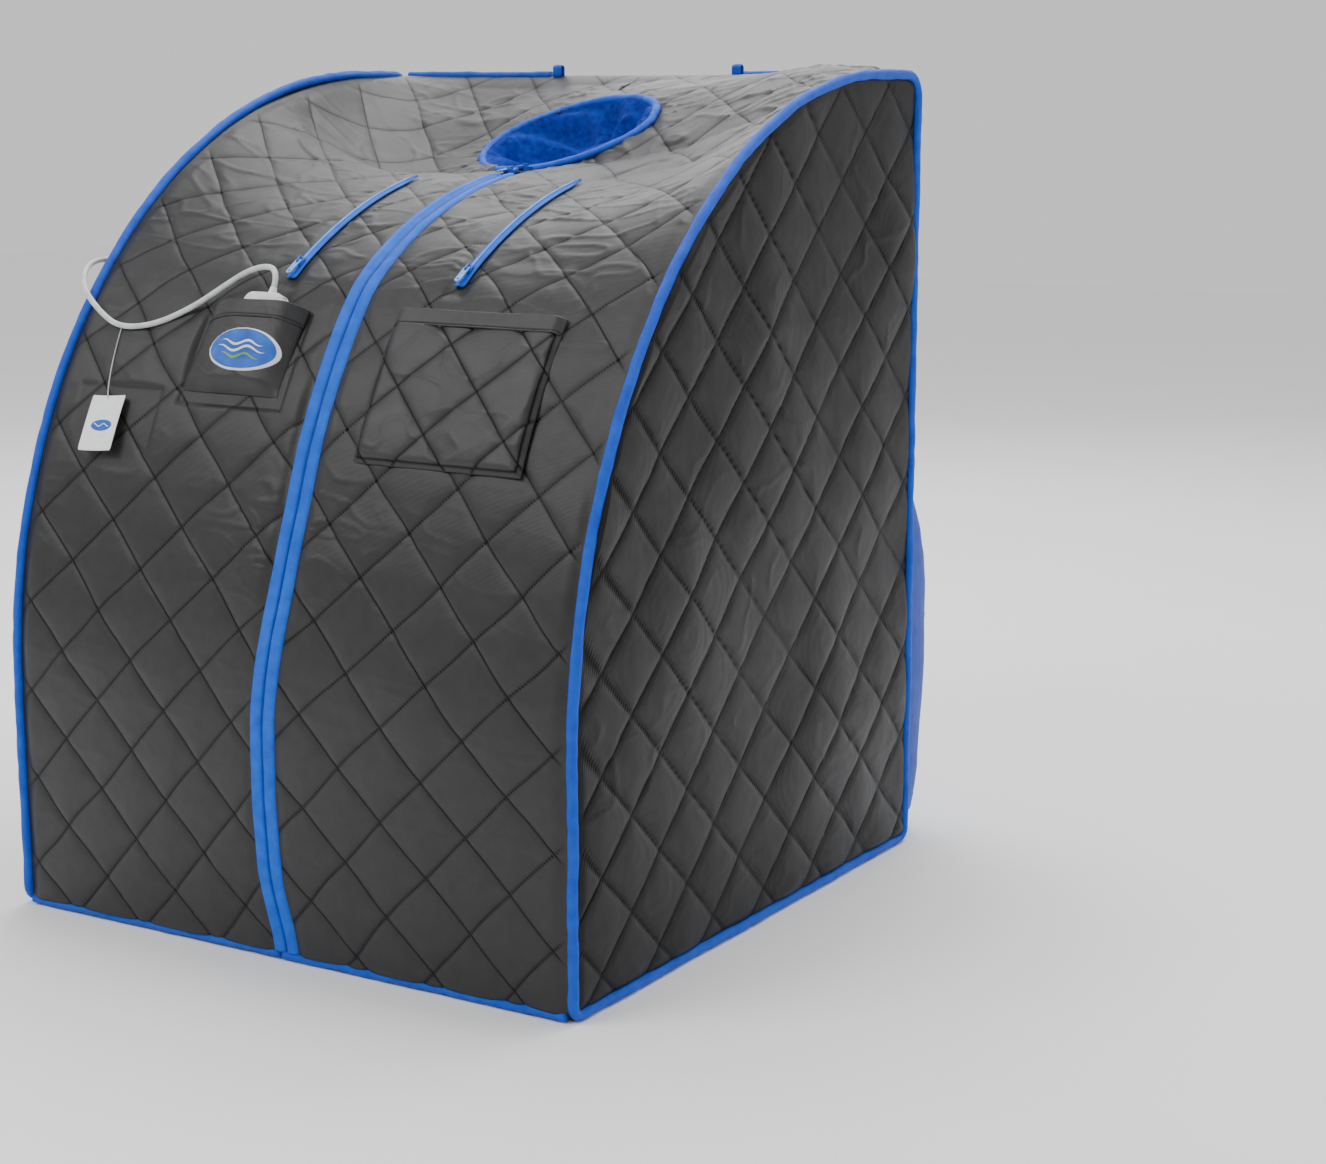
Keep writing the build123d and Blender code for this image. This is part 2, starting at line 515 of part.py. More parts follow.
BOX_Y = HALF_D - FABRIC / 2 - 0.2
box = block(INLET_X - 45, INLET_X + 45, BOX_Y - 34, BOX_Y, 36, 112)
parts["junction_box"] = fillet(box.edges().filter_by(Axis.Y), 8)

HARNESS_R = 3.0
HARNESS_X, HARNESS_Y, HARNESS_Z = -HALF_W + 8, HALF_D - 34, 120.0
harness_route = [(HARNESS_X, OUTLET_Y, OUTLET_Z - 12), (HARNESS_X, OUTLET_Y, HARNESS_Z),
                 (HARNESS_X, HARNESS_Y, HARNESS_Z), (HALF_W - 20, HARNESS_Y, HARNESS_Z)]
harness_path = FilletPolyline(*harness_route, radius=14)
parts["wiring_harness"] = sweep(Plane(origin=harness_path @ 0, z_dir=harness_path % 0) * Circle(HARNESS_R),
                                path=harness_path)

# ---------------------------------------------------------------- export
os.makedirs("parts", exist_ok=True)
for name, shape in parts.items():
    shape.label = name
    export_step(shape, f"parts/{name}.step")
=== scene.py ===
"""Looks of the portable sauna tent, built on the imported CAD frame. Metres; helpers work in millimetres."""
import bpy
import math
import numpy as np
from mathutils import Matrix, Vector


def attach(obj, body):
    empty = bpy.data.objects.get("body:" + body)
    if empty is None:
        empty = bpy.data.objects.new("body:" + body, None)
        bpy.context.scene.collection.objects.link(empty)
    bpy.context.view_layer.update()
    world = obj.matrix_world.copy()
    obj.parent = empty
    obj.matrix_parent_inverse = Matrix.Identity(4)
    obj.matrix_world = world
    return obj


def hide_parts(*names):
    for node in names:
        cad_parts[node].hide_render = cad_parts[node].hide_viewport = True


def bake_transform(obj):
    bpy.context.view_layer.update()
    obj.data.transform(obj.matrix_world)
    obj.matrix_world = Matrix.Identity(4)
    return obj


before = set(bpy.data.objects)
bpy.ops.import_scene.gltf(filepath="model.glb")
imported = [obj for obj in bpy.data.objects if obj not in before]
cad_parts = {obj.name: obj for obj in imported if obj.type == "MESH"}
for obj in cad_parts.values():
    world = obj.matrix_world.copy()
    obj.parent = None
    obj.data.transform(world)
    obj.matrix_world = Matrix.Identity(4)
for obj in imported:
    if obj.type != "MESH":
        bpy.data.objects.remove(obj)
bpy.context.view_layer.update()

# ---------------------------------------------------------------- the part's driving dimensions, in mm
HALF_W, HALF_D, HEIGHT = 385.0, 382.5, 960.0
STRAIGHT = 270.0
R1, SWEEP = 707.0, math.radians(47)
CY1, CZ1 = -HALF_D + R1, STRAIGHT
JY, JZ = CY1 - R1 * math.cos(SWEEP), CZ1 + R1 * math.sin(SWEEP)
R2 = (HEIGHT - JZ) / (1 - math.sin(SWEEP))
CY2, CZ2 = JY + R2 * math.cos(SWEEP), HEIGHT - R2
SAG_CY, SAG_CZ, SAG_R, FLAT_HALF = 136.0, 258.5, 587.5, 130.0
SAG_FROM = CY1 - R1 * math.cos(math.radians(41) - 0.12)
NECK_Y, NECK_Z, NECK_X, NECK_DY, PITCH, ROLL = 202.5, 886.0, 124.0, 72.0, 0.55, 0.17
WALL_X = HALF_W - 6.4
S1 = STRAIGHT + R1 * SWEEP
S2 = S1 + R2 * (math.pi / 2 - SWEEP)
S_BACK = S2 + HALF_D - 2 - CY2
ARM_X = {"left": -106.0, "right": 128.0}        # across the cabin to each arm zipper
S_TAG = STRAIGHT + R1 * math.radians(30.5)      # how far up the front the tag's string starts
QUILT_X, QUILT_S = 105, 104                     # size of a diamond of the front quilting
SEAM_HALF = 0.019                               # half width of the painted shade along a stitched line, in diamonds


# ---------------------------------------------------------------- noise and surfaces
def noise(u, v, seed):
    """Smooth lattice noise from -1 to 1."""
    table = np.random.RandomState(seed).rand(64, 64) * 2 - 1
    iu, iv = np.floor(u).astype(int), np.floor(v).astype(int)
    fu, fv = u - iu, v - iv
    fu, fv = fu * fu * (3 - 2 * fu), fv * fv * (3 - 2 * fv)
    a, b = table[iu % 64, iv % 64], table[(iu + 1) % 64, iv % 64]
    c, d = table[iu % 64, (iv + 1) % 64], table[(iu + 1) % 64, (iv + 1) % 64]
    return (a * (1 - fu) + b * fu) * (1 - fv) + (c * (1 - fu) + d * fu) * fv


def fbm(u, v, seed, octaves=3):
    total, size = 0.0, 1.0
    for k in range(octaves):
        total = total + size * noise(u * 2**k, v * 2**k, seed + k)
        size *= 0.5
    return total


def creases(u, v, seed):
    """Thin raised folds where the noise crosses zero, from 0 to 1."""
    return np.clip(1 - np.abs(fbm(u, v, seed, 2)) * 3.2, 0, 1)**3


def smooth(t):
    t = np.clip(t, 0, 1)
    return t * t * (3 - 2 * t)


def edge(s):
    """(y, z) of the side profile at length s from the floor."""
    a1, a2 = (s - STRAIGHT) / R1, SWEEP + (s - S1) / R2
    pick = [s <= STRAIGHT, s <= S1, s <= S2]
    y = np.select(pick, [-HALF_D + 0 * s, CY1 - R1 * np.cos(a1), CY2 - R2 * np.cos(a2)], CY2 + s - S2)
    z = np.select(pick, [s, CZ1 + R1 * np.sin(a1), CZ2 + R2 * np.sin(a2)], HEIGHT + 0 * s)
    return y, z


def profile_z(y):
    """Height of the side profile over y."""
    low = CZ1 + np.sqrt(np.maximum(R1**2 - (CY1 - y)**2, 0))
    high = CZ2 + np.sqrt(np.maximum(R2**2 - (CY2 - y)**2, 0))
    return np.select([y < JY, y < CY2], [low, high], HEIGHT + 0 * y)


def middle_z(y):
    front = SAG_CZ + np.sqrt(np.maximum(SAG_R**2 - (SAG_CY - np.minimum(y, SAG_CY))**2, 0))
    ring = NECK_Z + PITCH * (y - NECK_Y)
    back = NECK_Z + PITCH * NECK_DY
    rear = back + (HEIGHT - back) * (y - NECK_Y - NECK_DY) / (HALF_D - NECK_Y - NECK_DY)
    return np.select([y < NECK_Y - NECK_DY, y < NECK_Y + NECK_DY], [front, ring], rear)


def canopy_yz(x, s):
    y, z = edge(s)
    across = 1 - (np.maximum(0, np.abs(x) - FLAT_HALF) / (HALF_W - FLAT_HALF))**2
    drop = z - middle_z(y)
    drop = (drop + np.sqrt(drop**2 + 60)) / 2 * across
    drop = drop * np.clip((y - SAG_FROM) / 60, 0, 1) * np.clip((HALF_D - y) / 30, 0, 1)
    window = np.clip((y - 60) / (HALF_D - 60), 0, 1)
    roll = ROLL * x * (1 - np.abs(x / HALF_W)**3) * np.sin(math.pi * window)
    return y, z - drop + np.where(y > SAG_FROM, roll, 0)


def canopy(x, s, lift):
    """Points of the cabin's front and top, lifted off the fabric."""
    x, s = np.broadcast_arrays(np.asarray(x, float), np.asarray(s, float))
    y0, z0 = canopy_yz(x, s - 2)
    y1, z1 = canopy_yz(x, s + 2)
    y, z = canopy_yz(x, s)
    run = np.hypot(y1 - y0, z1 - z0)
    return np.stack([x, y - lift * (z1 - z0) / run, z + lift * (y1 - y0) / run], -1)


def seams(u, v):
    """Distances, in diamonds, to the two nearest families of quilting lines."""
    return np.abs((u + 0.5) % 1 - 0.5), np.abs((v + 0.5) % 1 - 0.5)


def pillows(a, b):
    """Puff of the padding between the lines, from 0 on a line to about 1."""
    def rise(d):
        return 1 - np.exp(-d / 0.045)
    return rise(a) * rise(b) * (0.75 + 0.5 * np.sin(math.pi * a) * np.sin(math.pi * b))


# ---------------------------------------------------------------- mesh helpers
def make_mesh(name, points, faces, mat, attributes=None, shade=True):
    """Mesh object from points in millimetres; attributes are values on its points."""
    mesh = bpy.data.meshes.new(name)
    mesh.from_pydata((np.asarray(points, float) / 1000).tolist(), [], faces)
    for key, values in (attributes or {}).items():
        layer = mesh.attributes.new(key, "FLOAT", "POINT")
        layer.data.foreach_set("value", np.asarray(values, np.float32).ravel())
    mesh.materials.append(mat)
    if shade:
        mesh.polygons.foreach_set("use_smooth", [True] * len(mesh.polygons))
    mesh.update()
    obj = bpy.data.objects.new(name, mesh)
    bpy.context.scene.collection.objects.link(obj)
    return obj


def grid_faces(n, m, close_n=False, close_m=False, keep=None):
    """Quads of an n by m grid; close_n and close_m join its ends, keep leaves points out."""
    rows, columns = np.arange(n if close_n else n - 1), np.arange(m if close_m else m - 1)
    i, j = np.meshgrid(rows, columns, indexing="ij")
    i, j = i.ravel(), j.ravel()
    i_next, j_next = (i + 1) % n, (j + 1) % m
    quads = np.stack([i * m + j, i_next * m + j, i_next * m + j_next, i * m + j_next], -1)
    if keep is not None:
        quads = quads[keep.ravel()[quads].all(1)]
    return quads.tolist()


def grid(name, points, mat, attributes=None, close_n=False, close_m=False, keep=None, flip=False):
    n, m = points.shape[:2]
    faces = grid_faces(n, m, close_n, close_m, keep)
    if flip:
        faces = [f[::-1] for f in faces]
    return make_mesh(name, points.reshape(-1, 3), faces, mat, attributes)


def solidify(obj, thickness, offset=-1.0):
    """Gives a sheet its thickness and applies it."""
    mod = obj.modifiers.new("thick", "SOLIDIFY")
    mod.thickness = thickness / 1000
    mod.offset = offset
    bpy.context.view_layer.update()
    graph = bpy.context.evaluated_depsgraph_get()
    mesh = bpy.data.meshes.new_from_object(obj.evaluated_get(graph))
    obj.modifiers.clear()
    obj.data = mesh
    return obj


def frames(path, closed=False):
    """Tangents and two normals along a path, turned as little as possible."""
    if closed:
        tan = np.roll(path, -1, 0) - np.roll(path, 1, 0)
    else:
        tan = np.gradient(path, axis=0)
    tan /= np.linalg.norm(tan, axis=1)[:, None]
    first = np.cross(tan[0], [0.13, 0.21, 0.97])
    first /= np.linalg.norm(first)
    normals = [first]
    for t in tan[1:]:
        n = normals[-1] - t * normals[-1].dot(t)
        normals.append(n / np.linalg.norm(n))
    normals = np.array(normals)
    return tan, normals, np.cross(tan, normals)


def tube(name, path, radius, mat, sides=20, closed=False):
    """Tube along a path; radius is a number or an array (path points, sides)."""
    path = np.asarray(path, float)
    _, n1, n2 = frames(path, closed)
    ang = np.linspace(0, 2 * math.pi, sides, endpoint=False)
    rad = np.broadcast_to(radius, (len(path), sides))[..., None]
    pts = path[:, None] + rad * (n1[:, None] * np.cos(ang)[:, None] + n2[:, None] * np.sin(ang)[:, None])
    faces = grid_faces(len(path), sides, closed, True)
    if not closed:
        faces.append(list(range(sides)))
        faces.append([(len(path) - 1) * sides + k for k in reversed(range(sides))])
    return make_mesh(name, pts.reshape(-1, 3), faces, mat)


def resample(path, step, closed=False):
    """The same path with points about step apart."""
    path = np.asarray(path, float)
    if closed:
        path = np.vstack([path, path[:1]])
    d = np.r_[0, np.cumsum(np.linalg.norm(np.diff(path, axis=0), axis=1))]
    count = max(4, int(d[-1] / step))
    t = np.linspace(0, d[-1], count, endpoint=not closed)
    return np.stack([np.interp(t, d, path[:, k]) for k in range(3)], -1)


# ---------------------------------------------------------------- materials
def material(name):
    mat = bpy.data.materials.new(name)
    mat.use_nodes = True
    nodes, links = mat.node_tree.nodes, mat.node_tree.links
    return mat, nodes, links, nodes["Principled BSDF"]


def object_coords(nodes):
    return nodes.new("ShaderNodeTexCoord").outputs["Object"]


def noise_node(nodes, links, coords, scale, detail=3.0, stretch=(1, 1, 1)):
    mapping = nodes.new("ShaderNodeMapping")
    mapping.inputs["Scale"].default_value = stretch
    links.new(coords, mapping.inputs["Vector"])
    tex = nodes.new("ShaderNodeTexNoise")
    tex.inputs["Scale"].default_value = scale
    tex.inputs["Detail"].default_value = detail
    links.new(mapping.outputs[0], tex.inputs["Vector"])
    return tex.outputs["Fac"]


def ramp(nodes, links, fac, stops):
    node = nodes.new("ShaderNodeValToRGB")
    while len(node.color_ramp.elements) < len(stops):
        node.color_ramp.elements.new(0.5)
    for element, (pos, col) in zip(node.color_ramp.elements, stops):
        element.position = pos
        element.color = (*col, 1)
    links.new(fac, node.inputs["Fac"])
    return node.outputs["Color"]


def bump(nodes, links, height, strength, distance, normal=None):
    node = nodes.new("ShaderNodeBump")
    node.inputs["Strength"].default_value = strength
    node.inputs["Distance"].default_value = distance
    links.new(height, node.inputs["Height"])
    if normal is not None:
        links.new(normal, node.inputs["Normal"])
    return node.outputs["Normal"]


def weave(nodes, links, coords, scale):
    """Over-and-under threads from two crossed wave textures."""
    waves = []
    for axis in ("X", "Z"):
        wave = nodes.new("ShaderNodeTexWave")
        wave.bands_direction = axis
        wave.inputs["Scale"].default_value = scale
        wave.inputs["Distortion"].default_value = 0.4
        links.new(coords, wave.inputs["Vector"])
        waves.append(wave.outputs["Fac"])
    add = nodes.new("ShaderNodeMath")
    add.operation = "ADD"
    links.new(waves[0], add.inputs[0])
    links.new(waves[1], add.inputs[1])
    return add.outputs[0]


def cloth(name, dark, light, rough=0.45, sheen=0.3, thread=260, thread_bump=0.25, grain=60, seam_shade=False,
          fold=0.15, shine=0.25):
    """Woven fabric: mottled colour, fine threads, soft sheen, and painted shade (darker colour, weaker
    reflection) along the stitched seams where marked.
    """
    mat, nodes, links, shader = material(name)
    coords = object_coords(nodes)
    tone = noise_node(nodes, links, coords, grain, 4)
    colour = ramp(nodes, links, tone, [(0.3, dark), (0.7, light)])
    threads = weave(nodes, links, coords, thread)
    if seam_shade:
        # painted shade in the seam creases: marked points get a much darker colour and a weaker reflection
        att = nodes.new("ShaderNodeAttribute")
        att.attribute_name = "seam_shade"
        mix = nodes.new("ShaderNodeMix")
        mix.data_type = "RGBA"
        links.new(att.outputs["Fac"], mix.inputs["Factor"])
        links.new(colour, mix.inputs["A"])
        mix.inputs["B"].default_value = (dark[0] * 0.15, dark[1] * 0.15, dark[2] * 0.15, 1)
        colour = mix.outputs["Result"]
        seam_shade_shine = nodes.new("ShaderNodeMapRange")
        links.new(att.outputs["Fac"], seam_shade_shine.inputs["Value"])
        seam_shade_shine.inputs["To Min"].default_value = shine
        seam_shade_shine.inputs["To Max"].default_value = 0.02
        links.new(seam_shade_shine.outputs[0], shader.inputs["Specular IOR Level"])
    links.new(colour, shader.inputs["Base Color"])
    fine = bump(nodes, links, threads, thread_bump, 0.0004)
    soft = bump(nodes, links, noise_node(nodes, links, coords, 38, 3), fold, 0.004, fine)
    links.new(soft, shader.inputs["Normal"])
    gloss = nodes.new("ShaderNodeMapRange")
    links.new(noise_node(nodes, links, coords, 22, 2), gloss.inputs["Value"])
    gloss.inputs["To Min"].default_value = rough - 0.06
    gloss.inputs["To Max"].default_value = rough + 0.08
    links.new(gloss.outputs[0], shader.inputs["Roughness"])
    shader.inputs["Sheen Weight"].default_value = sheen
    shader.inputs["Sheen Roughness"].default_value = 0.4
    shader.inputs["Specular IOR Level"].default_value = shine
    return mat


def hard(name, dark, light, rough, metal=0.0, grain=90, coat=0.0, texture=0.06, stretch=(1, 1, 1)):
    """Moulded or metal surface: slight mottling, uneven gloss and fine texture."""
    mat, nodes, links, shader = material(name)
    coords = object_coords(nodes)
    tone = noise_node(nodes, links, coords, grain, 4, stretch)
    links.new(ramp(nodes, links, tone, [(0.35, dark), (0.65, light)]), shader.inputs["Base Color"])
    gloss = nodes.new("ShaderNodeMapRange")
    links.new(noise_node(nodes, links, coords, grain * 0.6, 2, stretch), gloss.inputs["Value"])
    gloss.inputs["To Min"].default_value = max(0.05, rough - 0.05)
    gloss.inputs["To Max"].default_value = rough + 0.07
    links.new(gloss.outputs[0], shader.inputs["Roughness"])
    links.new(bump(nodes, links, noise_node(nodes, links, coords, grain * 14, 2, stretch), texture, 0.0005),
              shader.inputs["Normal"])
    shader.inputs["Metallic"].default_value = metal
    shader.inputs["Coat Weight"].default_value = coat
    shader.inputs["Coat Roughness"].default_value = 0.15
    return mat


BLACK_DARK, BLACK_LIGHT = (0.0125, 0.0125, 0.013), (0.018, 0.018, 0.0185)
quilt = cloth("quilted_polyester", BLACK_DARK, BLACK_LIGHT, 0.36, 0.04, seam_shade=True, shine=0.42)
# painted shade: the front's black quilted polyester with darker colour and weaker reflection, for the sides
# and back
painted_shade_quilt = cloth("polyester_painted_shade", (0.0095, 0.0095, 0.010), (0.014, 0.014, 0.0145), 0.34, 0.0, seam_shade=True,
                   shine=0.17)
plain = cloth("plain_polyester", BLACK_DARK, (0.020, 0.020, 0.0210), 0.38, 0.04, seam_shade=True, shine=0.5)
lining = cloth("lining", (0.02, 0.02, 0.022), (0.04, 0.04, 0.043), 0.6, 0.2)
piping_blue = cloth("blue_binding", (0.002, 0.065, 0.52), (0.004, 0.095, 0.66), 0.5, 0.0, thread=420,
                    thread_bump=0.5)
tape_blue = cloth("zip_tape_blue", (0.003, 0.105, 0.66), (0.006, 0.150, 0.82), 0.5, 0.0, thread=520,
                  thread_bump=0.6)
pouch_blue = cloth("pouch_blue", (0.003, 0.035, 0.34), (0.006, 0.060, 0.46), 0.5, 0.05, thread=300)
fleece = cloth("collar_fleece", (0.002, 0.018, 0.26), (0.004, 0.055, 0.52), 0.75, 0.05, thread=600,
               thread_bump=0.7, grain=130, fold=0.5, shine=0.12)
# painted shade: the main zipper's blue coil made darker for the groove between the raised tapes that it sits
# in
shaded_coil_blue = hard("zip_coil", (0.006, 0.040, 0.26), (0.012, 0.075, 0.40), 0.4, texture=0.2)
coil_light = hard("arm_coil", (0.12, 0.30, 0.80), (0.20, 0.42, 0.92), 0.35, texture=0.2)
slider_blue = hard("slider_paint", (0.010, 0.090, 0.50), (0.020, 0.140, 0.66), 0.30, 0.2, coat=0.4)
pull_blue = hard("pull_plastic", (0.14, 0.34, 0.82), (0.20, 0.42, 0.90), 0.32, coat=0.3)
white_plastic = hard("white_plastic", (0.70, 0.71, 0.72), (0.82, 0.83, 0.84), 0.3, coat=0.3)
grey_button = hard("grey_button", (0.25, 0.26, 0.28), (0.33, 0.34, 0.36), 0.45)
smoked = hard("smoked_window", (0.006, 0.006, 0.008), (0.012, 0.012, 0.015), 0.12, coat=0.6, texture=0.02)
cord_grey = hard("cord_jacket", (0.50, 0.51, 0.52), (0.62, 0.63, 0.64), 0.42, texture=0.1)
black_plastic = hard("black_plastic", (0.015, 0.015, 0.016), (0.03, 0.03, 0.031), 0.45)
steel = hard("spring_steel", (0.38, 0.39, 0.41), (0.55, 0.56, 0.58), 0.32, 1.0, 60, stretch=(1, 1, 8))
film = hard("heater_film", (0.02, 0.02, 0.022), (0.05, 0.05, 0.055), 0.35)
card_white = hard("tag_card", (0.78, 0.79, 0.80), (0.86, 0.87, 0.88), 0.55, texture=0.1)
thread_white = hard("tag_thread", (0.45, 0.45, 0.46), (0.62, 0.62, 0.63), 0.7)
badge_blue = cloth("badge_blue", (0.012, 0.085, 0.42), (0.030, 0.140, 0.60), 0.4, 0.1, thread=500)
badge_white = cloth("badge_white", (0.70, 0.72, 0.75), (0.80, 0.82, 0.84), 0.45, 0.1, thread=500)
badge_green = cloth("badge_green", (0.12, 0.32, 0.06), (0.20, 0.45, 0.10), 0.45, 0.1, thread=500)

CAD_LOOKS = {
    "side_hoops": steel, "cross_poles": steel, "pole_end_caps": black_plastic, "junction_box": black_plastic,
    "power_inlet": black_plastic, "pole_sleeves": lining, "heater_pockets": lining, "floor_mat": lining,
    "left_heater": film, "right_heater": film, "back_heater": film, "foot_heater": film,
    "controller_back_shell": white_plastic, "controller_front_shell": white_plastic,
    "controller_strain_relief": white_plastic, "cord_outlet": white_plastic, "power_button": grey_button,
    "temperature_button": grey_button, "timer_button": grey_button, "controller_display": smoked,
    "wiring_harness": cord_grey, "lower_main_slider": slider_blue, "upper_main_slider": slider_blue,
    "lower_main_pull": slider_blue, "upper_main_pull": slider_blue, "left_arm_slider": slider_blue,
    "right_arm_slider": slider_blue, "left_arm_pull": pull_blue, "right_arm_pull": pull_blue,
}
for node, mat in CAD_LOOKS.items():
    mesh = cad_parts[node].data
    mesh.materials.clear()
    mesh.materials.append(mat)

# ---------------------------------------------------------------- camera
camera_data = bpy.data.cameras.new("camera")
camera_data.lens = 69.38
camera_data.sensor_width = 36
camera = bpy.data.objects.new("camera", camera_data)
camera.location = (1.7619, -2.4609, 0.9511)
camera.rotation_euler = (math.radians(90 - 11.07), 0, math.radians(31.42))
bpy.context.scene.collection.objects.link(camera)
bpy.context.scene.camera = camera

# ---------------------------------------------------------------- controller cord
CTRL_ANGLE = math.radians(32.3)
ctrl_origin = np.array([-112.0, CY1 - R1 * math.cos(CTRL_ANGLE), CZ1 + R1 * math.sin(CTRL_ANGLE)])
ctrl_up = np.array([0, math.sin(CTRL_ANGLE), math.cos(CTRL_ANGLE)])
ctrl_out = np.array([0, -math.cos(CTRL_ANGLE), math.sin(CTRL_ANGLE)])
POCKET_LOW, POCKET_TOP, DEPTH_LOW, DEPTH_TOP = -45.0, 62.0, 14.0, 27.0
SLOPE = (DEPTH_TOP - DEPTH_LOW) / (POCKET_TOP - POCKET_LOW)
TILT = math.atan(SLOPE)


def pocket_point(x, y, out):
    """Point in the controller pocket's plane: x across, y up, out of the fabric."""
    x, y, out = (np.asarray(v, float)[..., None] for v in (x, y, out))
    return ctrl_origin + x * np.array([1.0, 0, 0]) + y * ctrl_up + out * ctrl_out


def body_point(x, y, z):
    """Point in the hand controller's own frame."""
    up = y * math.cos(TILT) - z * math.sin(TILT)
    out = DEPTH_LOW - SLOPE * POCKET_LOW - 2.8
    return pocket_point(8 + x, up, out + y * math.sin(TILT) + z * math.cos(TILT))


CORD_D = 6.5
cord_points = np.array([
    body_point(5, 80, -6.6), body_point(5, 94, -6.6), body_point(-7, 106, -6.6),
    (-142, -236, 744), (-177, -241, 724), (-216, -251, 699), (-263, -264, 678), (-312, -270, 673),
    (-350, -262, 690), (-384, -250, 713), (-407, -225, 731), (-420, -196, 741), (-424, -164, 742),
    (-411, -150, 742), (-393, -150, 742)])


def spline(points, per_span=14):
    """Smooth curve through the middles of the runs, as a NURBS of order 3 with its ends held."""
    out = [points[0]]
    for k in range(1, len(points) - 1):
        a = points[0] if k == 1 else (points[k - 1] + points[k]) / 2
        c = points[-1] if k == len(points) - 2 else (points[k] + points[k + 1]) / 2
        for t in np.linspace(0, 1, per_span + 1)[1:]:
            out.append((1 - t)**2 * a + 2 * t * (1 - t) * points[k] + t**2 * c)
    return np.array(out)


cord_path = resample(spline(cord_points), 2.0)
cord_obj = tube("hand_control_cord", cord_path, CORD_D / 2, cord_grey, 24)
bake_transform(cord_obj)
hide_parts("controller_cord")


# ---------------------------------------------------------------- front and top fabric
ZIP_S = np.array([0, 20, 89, 179, 269, 337, 417, 500, 560, 640, 710, 800, 900, 1400])
ZIP_X = np.array([9, 7.7, -12.5, -18.9, -18.3, -9.9, 2.8, 8.7, 7.3, 6, 4, 2, 0, 0])


def zip_x(s):
    """Sideways wander of the main zipper; the fabric beside it follows."""
    fine = np.linspace(0, 1450, 600)
    line = np.interp(fine, ZIP_S, ZIP_X)
    line = np.convolve(np.pad(line, 8, mode="edge"), np.ones(17) / 17, mode="valid")
    return np.interp(s, fine, line)


def shifted(x, s):
    return x + zip_x(s) * (1 - np.abs(x) / HALF_W)


def neck_radius(x, y):
    """1 on the neck opening's edge, in plan."""
    return np.hypot(x / NECK_X, (y - NECK_Y) / NECK_DY)


def box_window(x, s, x0, x1, s0, s1, soft=10.0):
    """1 inside a patch of the fabric, fading to 0 over its border."""
    return smooth(np.minimum.reduce([x - x0, x1 - x, s - s0, s1 - s]) / soft)


def front_relief(x, s, side):
    """Height of the quilted fabric off its smooth shape, and how near a seam each point is, for the painted
    shade along the stitching.
    """
    u0, v0 = (0.064, 0.045) if side < 0 else (0.176, 0.743)
    wob = 3.5 * noise(x / 60, s / 60, 5)
    a, b = seams((x + wob) / QUILT_X + s / QUILT_S - u0, (x + wob) / QUILT_X - s / QUILT_S - v0)
    puff = pillows(a, b)
    near = np.minimum(a, b)
    lift = -2.2 + (3.0 - 0.9 * smooth((s - 600) / 200)) * puff
    y, _ = edge(s)
    top = smooth((s - 640) / 200)
    lift += 4.0 * fbm(x / 190 + 3, s / 150, 21, 2) * (0.35 + 0.65 * smooth((s - 150) / 250))
    patchy = 0.3 + noise(x / 90, s / 90, 41)**2
    lift += (0.8 + 1.8 * top) * creases(x / 130, s / 34 + 0.25 * x / 130, 31) * patchy
    lift += 1.0 * top * creases(x / 70 + s / 220, s / 60 - x / 300, 57)
    r = neck_radius(x, y)
    ang = np.arctan2((y - NECK_Y) / NECK_DY, x / NECK_X)
    lift += 2.6 * np.exp(-np.abs(r - 1) / 0.4) * creases(ang * 6, r * 1.5, 63) * (s > 1000)
    for ax in ARM_X.values():
        reach = np.exp(-((x - ax) / 32)**2) * smooth((s - 760) / 60) * smooth((1110 - s) / 60)
        lift += 1.8 * reach * creases(x / 60, s / 13, 71)
    waist = np.exp(-((x - 10 * side) / 90)**2) * np.exp(-((s - 480) / 70)**2)
    lift += 2.4 * waist * creases(x / 60 + s / 80, s / 22, 83)
    for ax in ARM_X.values():
        strip = 1 - smooth((np.abs(x - ax) - 9) / 12)
        strip = strip * smooth((s - 750) / 20) * smooth((1105 - s) / 20)
        lift = lift * (1 - strip) - 2.4 * strip
    border = smooth((WALL_X - np.abs(x)) / 16)
    lift = -3 + (lift + 3) * border
    rear = smooth((S_BACK - s) / 45)
    lift = -3.0 + (lift + 3.0) * rear
    # flat under the two pockets and behind the tag
    under = box_window(x, s, -205, -42, 600, 735) + box_window(x, s, 60, 292, 552, 741)
    lift = np.where(under > 0, np.minimum(lift, 9.0 - 9.5 * under), lift)
    behind_tag = box_window(x, s, -352, -212, S_TAG - 130, S_TAG - 15)
    lift = np.where(behind_tag > 0, np.minimum(lift, 9.0 - 7.0 * behind_tag), lift)
    inner = np.maximum(smooth((np.abs(x) - 17) / 12), smooth((s - 1140) / 30))
    lift = -1.2 + (lift + 1.2) * (0.15 + 0.85 * inner)
    lift = np.minimum(lift, 9.0)
    return lift, np.exp(-(near / SEAM_HALF)**2) * border


for name, side in (("left", -1), ("right", 1)):
    share = np.linspace(0, 1, 140)
    ss = np.linspace(8.5, S_BACK, 520)
    gt, gs = np.meshgrid(share, ss, indexing="ij")
    inner = 14.0 * smooth((1180 - gs) / 40)
    gx = side * (inner + (WALL_X + 1.5 - inner) * gt)
    y_edge, _ = edge(gs)
    ring = neck_radius(gx, y_edge)
    keep = (ring > 0.93) | (gs < 1000)
    lift, seam_shade = front_relief(gx, gs, side)
    pts = canopy(shifted(gx, gs), gs, lift)
    obj = grid(f"{name}_front_quilt", pts, quilt, {"seam_shade": seam_shade}, keep=keep, flip=side > 0)
    solidify(obj, 3.0)
    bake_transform(obj)
    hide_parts(f"{name}_front_panel", f"{name}_door_flap")
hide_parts("top_panel")


